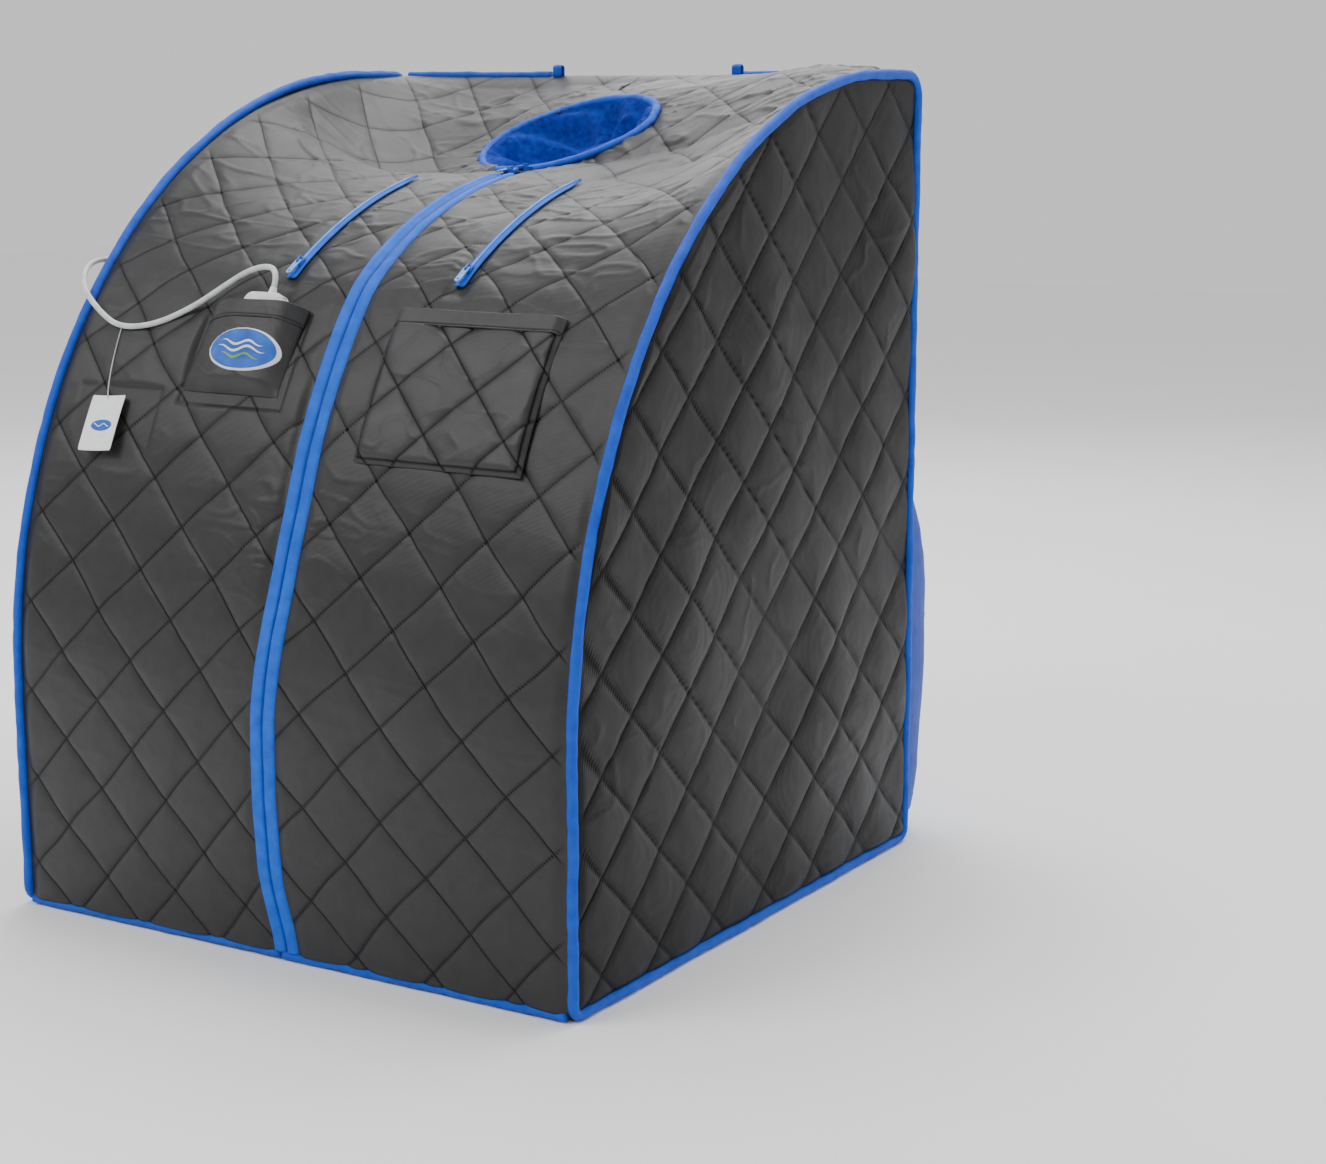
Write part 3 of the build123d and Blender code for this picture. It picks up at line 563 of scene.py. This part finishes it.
# ---------------------------------------------------------------- side and back panels
def panel_relief(p, q, seed, p_size, q_size, u0, v0):
    """Height of a flat quilted panel's fabric, and how near a seam each point is, for the painted shade
    along the stitching.
    """
    wob = 3.0 * noise(p / 70, q / 70, seed)
    a, b = seams((p + wob) / p_size + q / q_size - u0, (p + wob) / p_size - q / q_size - v0)
    lift = 1.2 + 3.4 * pillows(a, b)
    lift += 4.5 * fbm(p / 170, q / 190, seed + 1, 2)
    lift += 1.3 * creases(p / 90, q / 50, seed + 2) * (0.3 + noise(p / 80, q / 80, seed + 3)**2)
    lift = -1 + (lift + 1 + np.sqrt((lift + 1)**2 + 6)) / 2
    return np.minimum(lift, 9.5), np.exp(-(np.minimum(a, b) / SEAM_HALF)**2)


for name, side in (("left", -1), ("right", 1)):
    ys = np.linspace(-HALF_D + 4.0, HALF_D - 3.0, 200)
    ts = np.linspace(0, 1, 240)
    gy, gt = np.meshgrid(ys, ts, indexing="ij")
    top = profile_z(gy) - 3.0
    low = 9.0
    gz = low + (top - low) * gt
    lift, seam_shade = panel_relief(gy, gz, 101 + side, 116, 107, 0.48, 0.78)
    rim = np.minimum.reduce([gy + HALF_D, HALF_D - gy, profile_z(gy) - gz, gz - 5])
    rim = smooth(rim / 14)
    pts = np.stack([side * (HALF_W + (lift + 1.0) * rim - 1.0), gy, gz], -1)
    obj = grid(f"{name}_painted_shade_quilt", pts, painted_shade_quilt, {"seam_shade": seam_shade * rim}, flip=side < 0)
    solidify(obj, 3.0)
    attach(obj, "cabin")
    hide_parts(f"{name}_side_panel")

xs = np.linspace(-WALL_X - 2, WALL_X + 2, 190)
zs = np.linspace(8, HEIGHT - 3, 236)
gx, gz = np.meshgrid(xs, zs, indexing="ij")
lift, seam_shade = panel_relief(gx, gz, 201, QUILT_X, QUILT_S, 0.2, 0.6)
rim = smooth(np.minimum.reduce([(HALF_W - np.abs(gx)) / 16, (HEIGHT - gz) / 16, (gz - 4) / 16]))
pts = np.stack([gx, HALF_D + 3.0 + np.minimum(lift, 5) * rim * 0.8, gz], -1)
# the back panel uses the same darker painted-shade copy of the fabric
obj = grid("back_quilt", pts, painted_shade_quilt, {"seam_shade": seam_shade * rim}, flip=True)
solidify(obj, 3.0)
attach(obj, "cabin")
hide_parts("back_panel")


# ---------------------------------------------------------------- piping round the two sides
def corner(centre, r, a0, a1, count=9):
    """Points of an arc in the (y, z) plane."""
    a = np.linspace(a0, a1, count)
    return [(centre[0] + r * math.cos(t), centre[1] + r * math.sin(t)) for t in a]


def side_loop():
    """Closed (y, z) line of one side, with its corners rounded."""
    low = 6.0
    line = corner((-HALF_D + 14, low + 14), 14, 1.5 * math.pi, math.pi)
    s = np.linspace(30, S2, 180)
    y, z = edge(s)
    line += list(zip(y, z))
    line += [(yy, HEIGHT) for yy in np.linspace(CY2 + 5, HALF_D - 30, 12)]
    line += corner((HALF_D - 28, HEIGHT - 28), 28, math.pi / 2, 0)
    line += [(HALF_D, zz) for zz in np.linspace(HEIGHT - 34, 26, 60)]
    line += corner((HALF_D - 14, low + 14), 14, 0, -math.pi / 2)
    line += [(yy, low) for yy in np.linspace(HALF_D - 20, -HALF_D + 20, 60)]
    return np.array(line)


def soft_tube(name, path, radius, mat, seed, closed=False, ripple=0.5, sides=20):
    """Fabric tube with small dents and puckers."""
    ang = np.linspace(0, 2 * math.pi, sides, endpoint=False)
    d = np.arange(len(path))[:, None] * np.ones(sides)
    rad = radius - 0.4 + ripple * noise(d / 3.1 + 0 * ang, 2 + np.cos(ang) * 1.3 + 0 * d, seed)
    rad = rad + 0.35 * noise(d / 9, 5 + np.sin(ang) + 0 * d, seed + 1)
    if closed:
        fade = smooth(np.minimum(d, len(path) - d) / 6)
        rad = radius - 0.4 + (rad - radius + 0.4) * fade
    return tube(name, path, rad, mat, sides, closed)


loop = side_loop()
for name, side in (("left", -1), ("right", 1)):
    path = np.column_stack([np.full(len(loop), side * HALF_W), loop])
    path = resample(path, 4.5, True)
    wave = 1.1 * noise(np.arange(len(path)) / 14.0, np.full(len(path), 3.0 + side), 77)
    path[:, 0] += wave
    obj = soft_tube(f"{name}_piping", path, 6.2, piping_blue, 300 + side, True)
    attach(obj, "cabin")
    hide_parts(f"{name}_edge_piping")

REAR_GAP = 145      # no piping between the two hanging loops
rear_runs = ((-WALL_X, -REAR_GAP, HEIGHT), (REAR_GAP, WALL_X, HEIGHT), (-WALL_X, WALL_X, 5.6))
for k, (x0, x1, z) in enumerate(rear_runs):
    xs = np.arange(x0, x1 + 1, 4.0)
    path = np.column_stack([xs, np.full(len(xs), HALF_D), z + 0.6 * noise(xs / 60, xs * 0 + k, 88)])
    obj = soft_tube(f"rear_piping_{k}", path, 5.0, piping_blue, 400 + k)
    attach(obj, "cabin")
    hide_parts("rear_piping")

for name, side in (("left", -1), ("right", 1)):
    xs = np.linspace(side * 2.0, side * 376, 90)
    path = np.column_stack([xs, np.full(90, -HALF_D - 0.2), 5.6 + 0.3 * noise(xs / 40, xs * 0, 93)])
    obj = soft_tube(f"{name}_hem_piping", path, 4.8, piping_blue, 430 + side)
    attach(obj, f"{name}_flap")
    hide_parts(f"{name}_flap_hem")

# ---------------------------------------------------------------- main zipper
S_ZIP_TOP = 1108.0
zs = np.linspace(9.5, S_ZIP_TOP, 420)
for name, side in (("left", -1), ("right", 1)):
    t = np.linspace(0, 1, 13)
    across = 1.3 + 15.7 * t
    arch = 1.4 + 2.3 * np.sin(math.pi * np.clip(t * 1.05, 0, 1))**0.55
    arch[0] = -0.6
    arch[-1] = 0.2
    # the tape is lower beside the coil where the sliders run
    gs, ga = np.meshgrid(zs, across, indexing="ij")
    lift = np.broadcast_to(arch, gs.shape) + 0.5 * noise(gs / 26, ga / 9, 510 + side)
    lift = lift + 0.35 * np.exp(-((ga - 13.8) / 0.9)**2)
    lift = lift - 1.9 * smooth((9.5 - ga) / 4) * smooth((gs - 780) / 40)
    pts = canopy(side * ga + zip_x(gs), gs, lift)
    obj = grid(f"{name}_zip_tape", pts, tape_blue, flip=side < 0)
    solidify(obj, 1.0)
    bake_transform(obj)
    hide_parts(f"{name}_flap_tape")
    if side < 0:
        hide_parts("main_zip_tapes")
    # one half of the coil: a row of small teeth that lean towards the other half
    count = 900
    centres = np.linspace(11, S_ZIP_TOP - 6, count)
    prof = np.array([(-1.3, 0), (-0.9, 1.3), (0, 1.8), (0.9, 1.3), (1.3, 0)])
    verts, faces = [], []
    base = canopy(zip_x(centres) + side * 0.9, centres, 0.3)
    ahead = canopy(zip_x(centres + 1) + side * 0.9, centres + 1, 0.3) - base
    ahead /= np.linalg.norm(ahead, axis=1)[:, None]
    up = canopy(zip_x(centres) + side * 0.9, centres, 1.3) - base
    for k in range(count):
        start = len(verts)
        for dx, dz in prof:
            for ds in (-0.38, 0.38):
                verts.append(base[k] + np.array([dx * 0.75, 0, 0]) + ahead[k] * ds + up[k] * dz * 0.55)
        for j in range(len(prof) - 1):
            faces.append([start + 2 * j, start + 2 * j + 1, start + 2 * j + 3, start + 2 * j + 2])
    coil = make_mesh(f"{name}_zip_coil", np.array(verts), faces, shaded_coil_blue)
    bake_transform(coil)
    if side < 0:
        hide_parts("main_zip_chain")

# ---------------------------------------------------------------- arm zippers
S_ARM = (778.0, 1079.0)
for name, ax in ARM_X.items():
    ss = np.linspace(*S_ARM, 150)
    t = np.linspace(-1, 1, 15)
    gs, gt = np.meshgrid(ss, t, indexing="ij")
    width = 7.0 * smooth((S_ARM[1] - gs) / 60 + 0.25) * smooth((gs - S_ARM[0]) / 8 + 0.6)
    lift = 2.6 + 1.7 * (1 - np.abs(gt)**3) + 0.9 * np.exp(-(gt / 0.22)**2)
    lift = lift - 0.8 * np.exp(-((np.abs(gt) - 0.36) / 0.1)**2)
    sway = 1.5 * np.sin((gs - S_ARM[0]) / 80)
    pts = canopy(ax + gt * width + sway, gs, lift)
    obj = grid(f"{name}_arm_zip_tape", pts, tape_blue, flip=True)
    solidify(obj, 1.0)
    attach(obj, "cabin")
    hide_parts(f"{name}_arm_zip")
    line = canopy(ax + 1.5 * np.sin((ss - S_ARM[0]) / 80), ss, 5.0)
    d = np.arange(len(ss) - 12)[:, None] * np.ones(10)
    bead = tube(f"{name}_arm_coil", line[4:-8], 1.0 + 0.25 * np.cos(d * 2.4), coil_light, 10)
    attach(bead, "cabin")

# ---------------------------------------------------------------- neck binding and collar
neck_x_dir = np.array([1, 0, ROLL]) / math.hypot(1, ROLL)
neck_n = np.array([-ROLL, -PITCH, 1.0])
neck_n /= np.linalg.norm(neck_n)
neck_y_dir = np.cross(neck_n, neck_x_dir)
NECK_LONG = NECK_DY * math.sqrt(1 + PITCH**2)


def neck_point(theta, grow, height):
    """Point by the neck opening: angle round it, distance outside its edge, height off its plane."""
    a, b = NECK_X + grow, NECK_LONG + grow
    base = np.array([0, NECK_Y, NECK_Z])
    return (base + (a * np.cos(theta))[..., None] * neck_x_dir + (b * np.sin(theta))[..., None] * neck_y_dir
            + np.asarray(height)[..., None] * neck_n)


th = np.linspace(0, 2 * math.pi, 320, endpoint=False)
ph = np.linspace(0, 2 * math.pi, 20, endpoint=False)
gt, gp = np.meshgrid(th, ph, indexing="ij")
wrap = 1 + 0.09 * noise(gt * 14, 3 + np.cos(gp), 610) + 0.05 * noise(gt * 40, 3 + np.sin(gp), 611)
grow = 5.6 * np.cos(gp) * wrap + 1.2 * noise(gt * 2, gt * 0, 612)
height = 3.0 + 4.4 * np.sin(gp) * wrap + 0.7 * noise(gt * 5, gt * 0, 613)
rim_obj = grid("neck_binding", neck_point(gt, grow, height), piping_blue, close_n=True, close_m=True,
               flip=True)
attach(rim_obj, "cabin")
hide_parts("neck_rim")

v = np.linspace(0, 1, 90)
gt, gv = np.meshgrid(th, v, indexing="ij")
cx, cy = np.cos(gt), np.sin(gt)
shrink = 1 - 0.88 * gv**1.15
depth = 5 - 44 * np.sin(math.pi * 0.5 * gv)**1.1
folds = 12.0 * np.sin(7 * gt + 5.5 * gv + 1.2 * noise(cx * 2 + 5, cy * 2 + gv * 2, 621)) * smooth(gv / 0.3)
folds = folds + 6.0 * noise(cx * 3.2 + gv * 1.5, cy * 3.2 - gv * 2.5, 622) * smooth(gv / 0.15)
folds = folds + 2.6 * (creases(cx * 4 + gv * 3, cy * 4 - gv * 3, 623) - 0.3) * smooth(gv / 0.1)
folds = folds * (1 - 0.6 * gv)
swirl = gt + 0.35 * gv * np.sin(gt * 2 + 1)
base = np.array([0, NECK_Y, NECK_Z])
ax_len, ay_len = (NECK_X - 5) * shrink, (NECK_LONG - 5) * shrink
pts = (base + (ax_len * np.cos(swirl))[..., None] * neck_x_dir
       + (ay_len * np.sin(swirl))[..., None] * neck_y_dir + (depth + folds)[..., None] * neck_n)
collar = grid("neck_collar_fabric", pts, fleece, close_n=True, flip=False)
solidify(collar, 2.0)
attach(collar, "cabin")
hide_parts("neck_collar")


# ---------------------------------------------------------------- controller pocket
def pocket_depth(q, y):
    """Bulge of the pocket's front: q is -1 to 1 across, y is up the pocket."""
    up = (y - POCKET_LOW) / (POCKET_TOP - POCKET_LOW)
    power = np.where(q < 0, 2.3, 3.0 + 4.0 * smooth(up * 1.4))
    full = DEPTH_LOW + SLOPE * (y - POCKET_LOW) + 1.6
    body = full * np.clip(1 - np.abs(q)**power, 0, 1) * smooth(up / 0.16 + 0.02)**0.6
    folds = creases(q * 1.5 + y / 60, y / 26 + q, 711)
    dents = 1.6 * fbm(q * 1.6 + 4, y / 40, 710, 2) + 1.4 * (folds - 0.2)
    slack = np.clip(1 - np.abs(q)**4, 0, 1) * smooth(up / 0.2)
    return 0.8 + body + np.where(y < -12, 1, 0.45) * dents * slack


def pocket_edges(y):
    """The pocket's left and right edges at height y."""
    up = (y - POCKET_LOW) / (POCKET_TOP - POCKET_LOW)
    return -(85 - 9 * up), 56 + 4 * up


def pocket_sheet(q, y):
    lo, hi = pocket_edges(y)
    return (lo + hi) / 2 + q * (hi - lo) / 2, pocket_depth(q, y)


HEM = 40.0
for name, y0, y1, extra in (("controller_pocket_bag", POCKET_LOW, HEM + 1.0, 0.0),
                            ("controller_pocket_band", HEM, POCKET_TOP, 0.8)):
    q = np.linspace(-1, 1, 110)
    ys = np.linspace(y0, y1, 90 if extra == 0 else 24)
    gq, gy = np.meshgrid(q, ys, indexing="ij")
    px, depth = pocket_sheet(gq, gy)
    if extra:
        t = (gy - HEM) / (POCKET_TOP - HEM)
        stitched = 1 - 0.6 * np.exp(-((t - 0.12) / 0.03)**2)
        depth = depth + extra * (1 - np.exp(-t / 0.06)) * stitched * (1 - gq**8)
        # painted shade along the band's stitched crease
        seam_shade = np.exp(-((t - 0.12) / 0.02)**2)
        py = gy - 3.0 * (1 - gq**2) * t
    else:
        # painted shade along the bag's sewn edges, where it meets the cabin's fabric
        seam_shade = np.exp(-((1 - np.abs(gq)) / 0.02)**2) * 0.8
        py = gy
    obj = grid(name, pocket_point(px, py, depth), plain, {"seam_shade": seam_shade}, flip=False)
    solidify(obj, 1.3, 1.0 if extra else -0.2)
    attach(obj, "cabin")
    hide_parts("controller_pocket_hem" if extra else "controller_pocket")


def on_pocket(x, y, lift):
    lo, hi = pocket_edges(y)
    q = (x - (lo + hi) / 2) / ((hi - lo) / 2)
    return pocket_point(x, y, pocket_depth(q, y) + lift)


PATCH = (2.0, 1.0, 49.0, 25.0)


def patch_point(theta, r, lift):
    x, y, a, b = PATCH
    dx, dy = a * r * np.cos(theta), b * r * np.sin(theta)
    return on_pocket(x + dx, y + dy, lift)


def patch_band(name, r0, r1, lift, mat, edge_drop=0.0):
    theta = np.linspace(0, 2 * math.pi, 120, endpoint=False)
    r = np.linspace(r0, r1, 16)
    gth, gr = np.meshgrid(theta, r, indexing="ij")
    lift = lift - edge_drop * smooth((gr - r1 + 0.02) / 0.02)
    obj = grid(name, patch_point(gth, gr, lift), mat, close_n=True, flip=True)
    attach(obj, "cabin")
    return obj


patch = patch_band("patch_border", 0.001, 1.0, 2.2, badge_white, 1.6)
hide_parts("oval_patch")
patch_band("patch_field", 0.001, 0.92, 2.6, badge_blue)
waves = ((7, 30, 2.6, badge_white), (0, 34, 3.0, badge_white), (-8, 28, 2.6, badge_green))
for k, (y_off, wide, amp, mat) in enumerate(waves):
    t = np.linspace(-1, 1, 60)
    gt2, gw = np.meshgrid(t, np.linspace(-1, 1, 5), indexing="ij")
    px = 2 + wide * gt2
    py = 1 + y_off + amp * np.sin(gt2 * 5.5) + gw * 1.5 * (1 - np.abs(gt2)**2.5)
    obj = grid(f"patch_wave_{k}", on_pocket(px, py, 2.95), mat, flip=True)
    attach(obj, "cabin")

# ---------------------------------------------------------------- storage pocket
STORE_X = (66.0, 286.0)
STORE_S = tuple(STRAIGHT + R1 * math.radians(a) for a in (23.4, 38.0))
STORE_HEM = STORE_S[1] - 20.0


def store_lift(x, s):
    """Height of the storage pocket's front, and how near a stitched line each point is, for the painted
    shade along the stitching.
    """
    rim = np.minimum.reduce([(x - STORE_X[0]) / 14, (STORE_X[1] - x) / 14, (s - STORE_S[0]) / 12])
    rise = smooth(rim)**0.6
    a, b = seams(x / QUILT_X + s / QUILT_S - 0.176, x / QUILT_X - s / QUILT_S - 0.743)
    bulge = 1.5 * fbm(x / 80, s / 60, 801, 2) + 1.2 * (creases(x / 60, s / 40, 802) - 0.2)
    lift = 3.2 + rise * (4.0 + 3.4 * pillows(a, b) + bulge)
    quilting = np.exp(-(np.minimum(a, b) / 0.02)**2)
    border = np.exp(-((rim - 0.45) / 0.10)**2)
    return lift, np.maximum(quilting, border) * (rim > 0.05)


for name, s0, s1 in (("storage_pocket_front", STORE_S[0], STORE_HEM + 1),
                     ("storage_pocket_band", STORE_HEM, STORE_S[1])):
    xs = np.linspace(*STORE_X, 110)
    ss = np.linspace(s0, s1, 84 if s0 < STORE_HEM else 20)
    gx, gs = np.meshgrid(xs, ss, indexing="ij")
    lift, seam_shade = store_lift(gx, gs)
    if s0 >= STORE_HEM:
        t = (gs - s0) / (s1 - s0)
        rim = smooth(np.minimum(gx - STORE_X[0], STORE_X[1] - gx) / 12)**0.6
        # painted shade along the band's stitched crease
        seam_shade = np.exp(-((t - 0.1) / 0.03)**2)
        lift = 3.6 + rim * (6.4 + 1.0 * fbm(gx / 60, gs / 30, 805, 2) - 1.2 * seam_shade)
    obj = grid(name, canopy(shifted(gx, gs), gs, lift), plain, {"seam_shade": seam_shade}, flip=True)
    solidify(obj, 1.4, -1.0)
    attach(obj, "cabin")
    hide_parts("storage_pocket" if s0 < STORE_HEM else "storage_pocket_hem")

# ---------------------------------------------------------------- hang tag
TAG_ANGLE = math.radians(30.5)
tag_origin = np.array([-312.0, CY1 - R1 * math.cos(TAG_ANGLE), CZ1 + R1 * math.sin(TAG_ANGLE)])
tag_up = np.array([0, math.sin(TAG_ANGLE), math.cos(TAG_ANGLE)])
tag_out = np.array([0, -math.cos(TAG_ANGLE), math.sin(TAG_ANGLE)])


def tag_point(x, y, out):
    """Point in the tag's plane: x across, y up the front, out of the fabric."""
    x, y, out = (np.asarray(q, float)[..., None] for q in (x, y, out))
    return tag_origin + x * np.array([1.0, 0, 0]) + y * tag_up + out * tag_out


def tag_sheet(name, px, py, out, mat, thick):
    """Card piece: its own x and y about the card's middle, turned 4 degrees, slightly bent."""
    turn = math.radians(4)
    x = 25 + px * math.cos(turn) - py * math.sin(turn)
    y = -73 + px * math.sin(turn) + py * math.cos(turn)
    obj = grid(name, tag_point(x, y, out + 5.0 + 2.0 * (px / 24)**2 - 0.6 * (py / 34)**2), mat)
    solidify(obj, thick, 1.0)
    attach(obj, "tag")
    return obj


u, w = np.meshgrid(np.linspace(-1, 1, 30), np.linspace(-1, 1, 42), indexing="ij")
round_off = np.clip(np.abs(w) - 0.92, 0, 1) / 0.08
card = tag_sheet("tag_card", 24 * u * (1 - 0.05 * round_off**2), 34 * w, 4.0, card_white, 0.7)
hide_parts("hang_tag")
ang, rr = np.meshgrid(np.linspace(0, 2 * math.pi, 48), np.linspace(0.01, 1, 6), indexing="ij")
tag_sheet("tag_oval", 15 * rr * np.cos(ang), -3 + 7 * rr * np.sin(ang), 4.9, badge_blue, 0.3)
uu, ww = np.meshgrid(np.linspace(-1, 1, 30), np.linspace(-1, 1, 4), indexing="ij")
tag_sheet("tag_wave", 11 * uu, -3 + 1.6 * np.sin(uu * 5) + ww * 0.7, 5.4, badge_white, 0.2)
string_points = ((2, 47, 8.2), (6, 12, 9.6), (18, -36, 11.5), (22, -43.5, 10.4))
string_path = resample(spline(np.array([tag_point(*p) for p in string_points])), 1.5)
string = tube("tag_loop", string_path, 0.6, thread_white, 8)
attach(string, "tag")
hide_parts("tag_string")

# ---------------------------------------------------------------- hanging loops
for name, loop_x in (("left", -135.0), ("right", 135.0)):
    line = [(HALF_D - 4.0, HEIGHT - 4), (HALF_D - 4.2, HEIGHT + 4)]
    line += corner((HALF_D, HEIGHT + 8.6), 4.2, math.pi, 0, 12)
    line += [(HALF_D + 4.2, HEIGHT + 4), (HALF_D + 4.0, HEIGHT - 4)]
    ly, lz = np.array(line).T
    pts = np.stack([np.stack([np.full(len(ly), loop_x + x), ly, lz - 0.02 * x * x], -1)
                    for x in np.linspace(-6, 6, 9)])
    obj = grid(f"{name}_hanging_loop", pts, piping_blue)
    solidify(obj, 1.6, 0.0)
    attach(obj, "cabin")
    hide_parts("hanging_loops")

# ---------------------------------------------------------------- rear pouch
outline = np.array([(385, 489), (391, 489), (412, 462), (430, 428), (452, 392), (466, 358), (473, 325),
                    (475, 290), (474, 215), (467, 150), (458, 92), (449, 55), (438, 28), (385, 24)])
line = resample(np.column_stack([outline[:, 0] * 0, outline]), 5.0)[:, 1:]
xs = np.sin(np.linspace(-1, 1, 90) * math.pi / 2)
gi, gx = np.meshgrid(np.arange(len(line)), xs, indexing="ij")
ends = np.clip(1 - np.abs(gx)**30, 0, 1)**0.5
py = 385 + (line[gi, 0] - 385) * ends
pz = 256 + (line[gi, 1] - 256) * (0.97 + 0.03 * ends)
folds = creases(gx * 3 + line[gi, 1] / 200, line[gi, 1] / 60, 902)
pucker = 2.2 * fbm(gx * 3, line[gi, 1] / 70, 901, 2) + 1.8 * (folds - 0.3)
py = py + pucker * np.clip((py - 390) / 20, 0, 1)
pts = np.stack([248 + 128 * gx, py, pz], -1)
pouch = grid("rear_pouch_fabric", pts, pouch_blue)
solidify(pouch, 1.5, 0.0)
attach(pouch, "cabin")
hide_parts("rear_pouch")

# ---------------------------------------------------------------- floor and lights
floor_mat, nodes, links, shader = material("floor_white")
tone = noise_node(nodes, links, object_coords(nodes), 3, 2)
links.new(ramp(nodes, links, tone, [(0.3, (0.94, 0.94, 0.94)), (0.7, (0.96, 0.96, 0.96))]),
          shader.inputs["Base Color"])
shader.inputs["Roughness"].default_value = 0.9
FLOOR_HALF = 9000
floor_corners = [(x * FLOOR_HALF, y * FLOOR_HALF, -0.5) for x, y in ((-1, -1), (1, -1), (1, 1), (-1, 1))]
floor = make_mesh("floor", floor_corners, [[0, 1, 2, 3]], floor_mat, shade=False)


def area_light(name, place, target, size, power):
    """Rectangular lamp at a place, turned to a target."""
    data = bpy.data.lights.new(name, "AREA")
    data.shape = "RECTANGLE"
    data.size, data.size_y = size
    data.energy = power
    obj = bpy.data.objects.new(name, data)
    obj.location = place
    obj.rotation_euler = (Vector(target) - Vector(place)).to_track_quat("-Z", "Y").to_euler()
    bpy.context.scene.collection.objects.link(obj)
    return obj


lights = [area_light("overhead", (0.0, 1.0, 3.4), (0, 0.1, 0.6), (3.0, 2.0), 95),
          area_light("behind", (-1.7, 2.9, 2.3), (0, 0.1, 0.8), (3.6, 1.8), 40),
          area_light("front_left", (-1.4, -2.6, 3.2), (0, 0, 0.6), (2.0, 1.4), 62),
          area_light("side_right", (2.6, 0.6, 2.2), (0.3, 0, 0.4), (1.0, 1.4), 5)]
for light in lights:
    light.visible_camera = False
world = bpy.data.worlds.new("world")
bpy.context.scene.world = world
world.use_nodes = True
world.node_tree.nodes["Background"].inputs["Color"].default_value = (1, 1, 1, 1)
world.node_tree.nodes["Background"].inputs["Strength"].default_value = 0.8
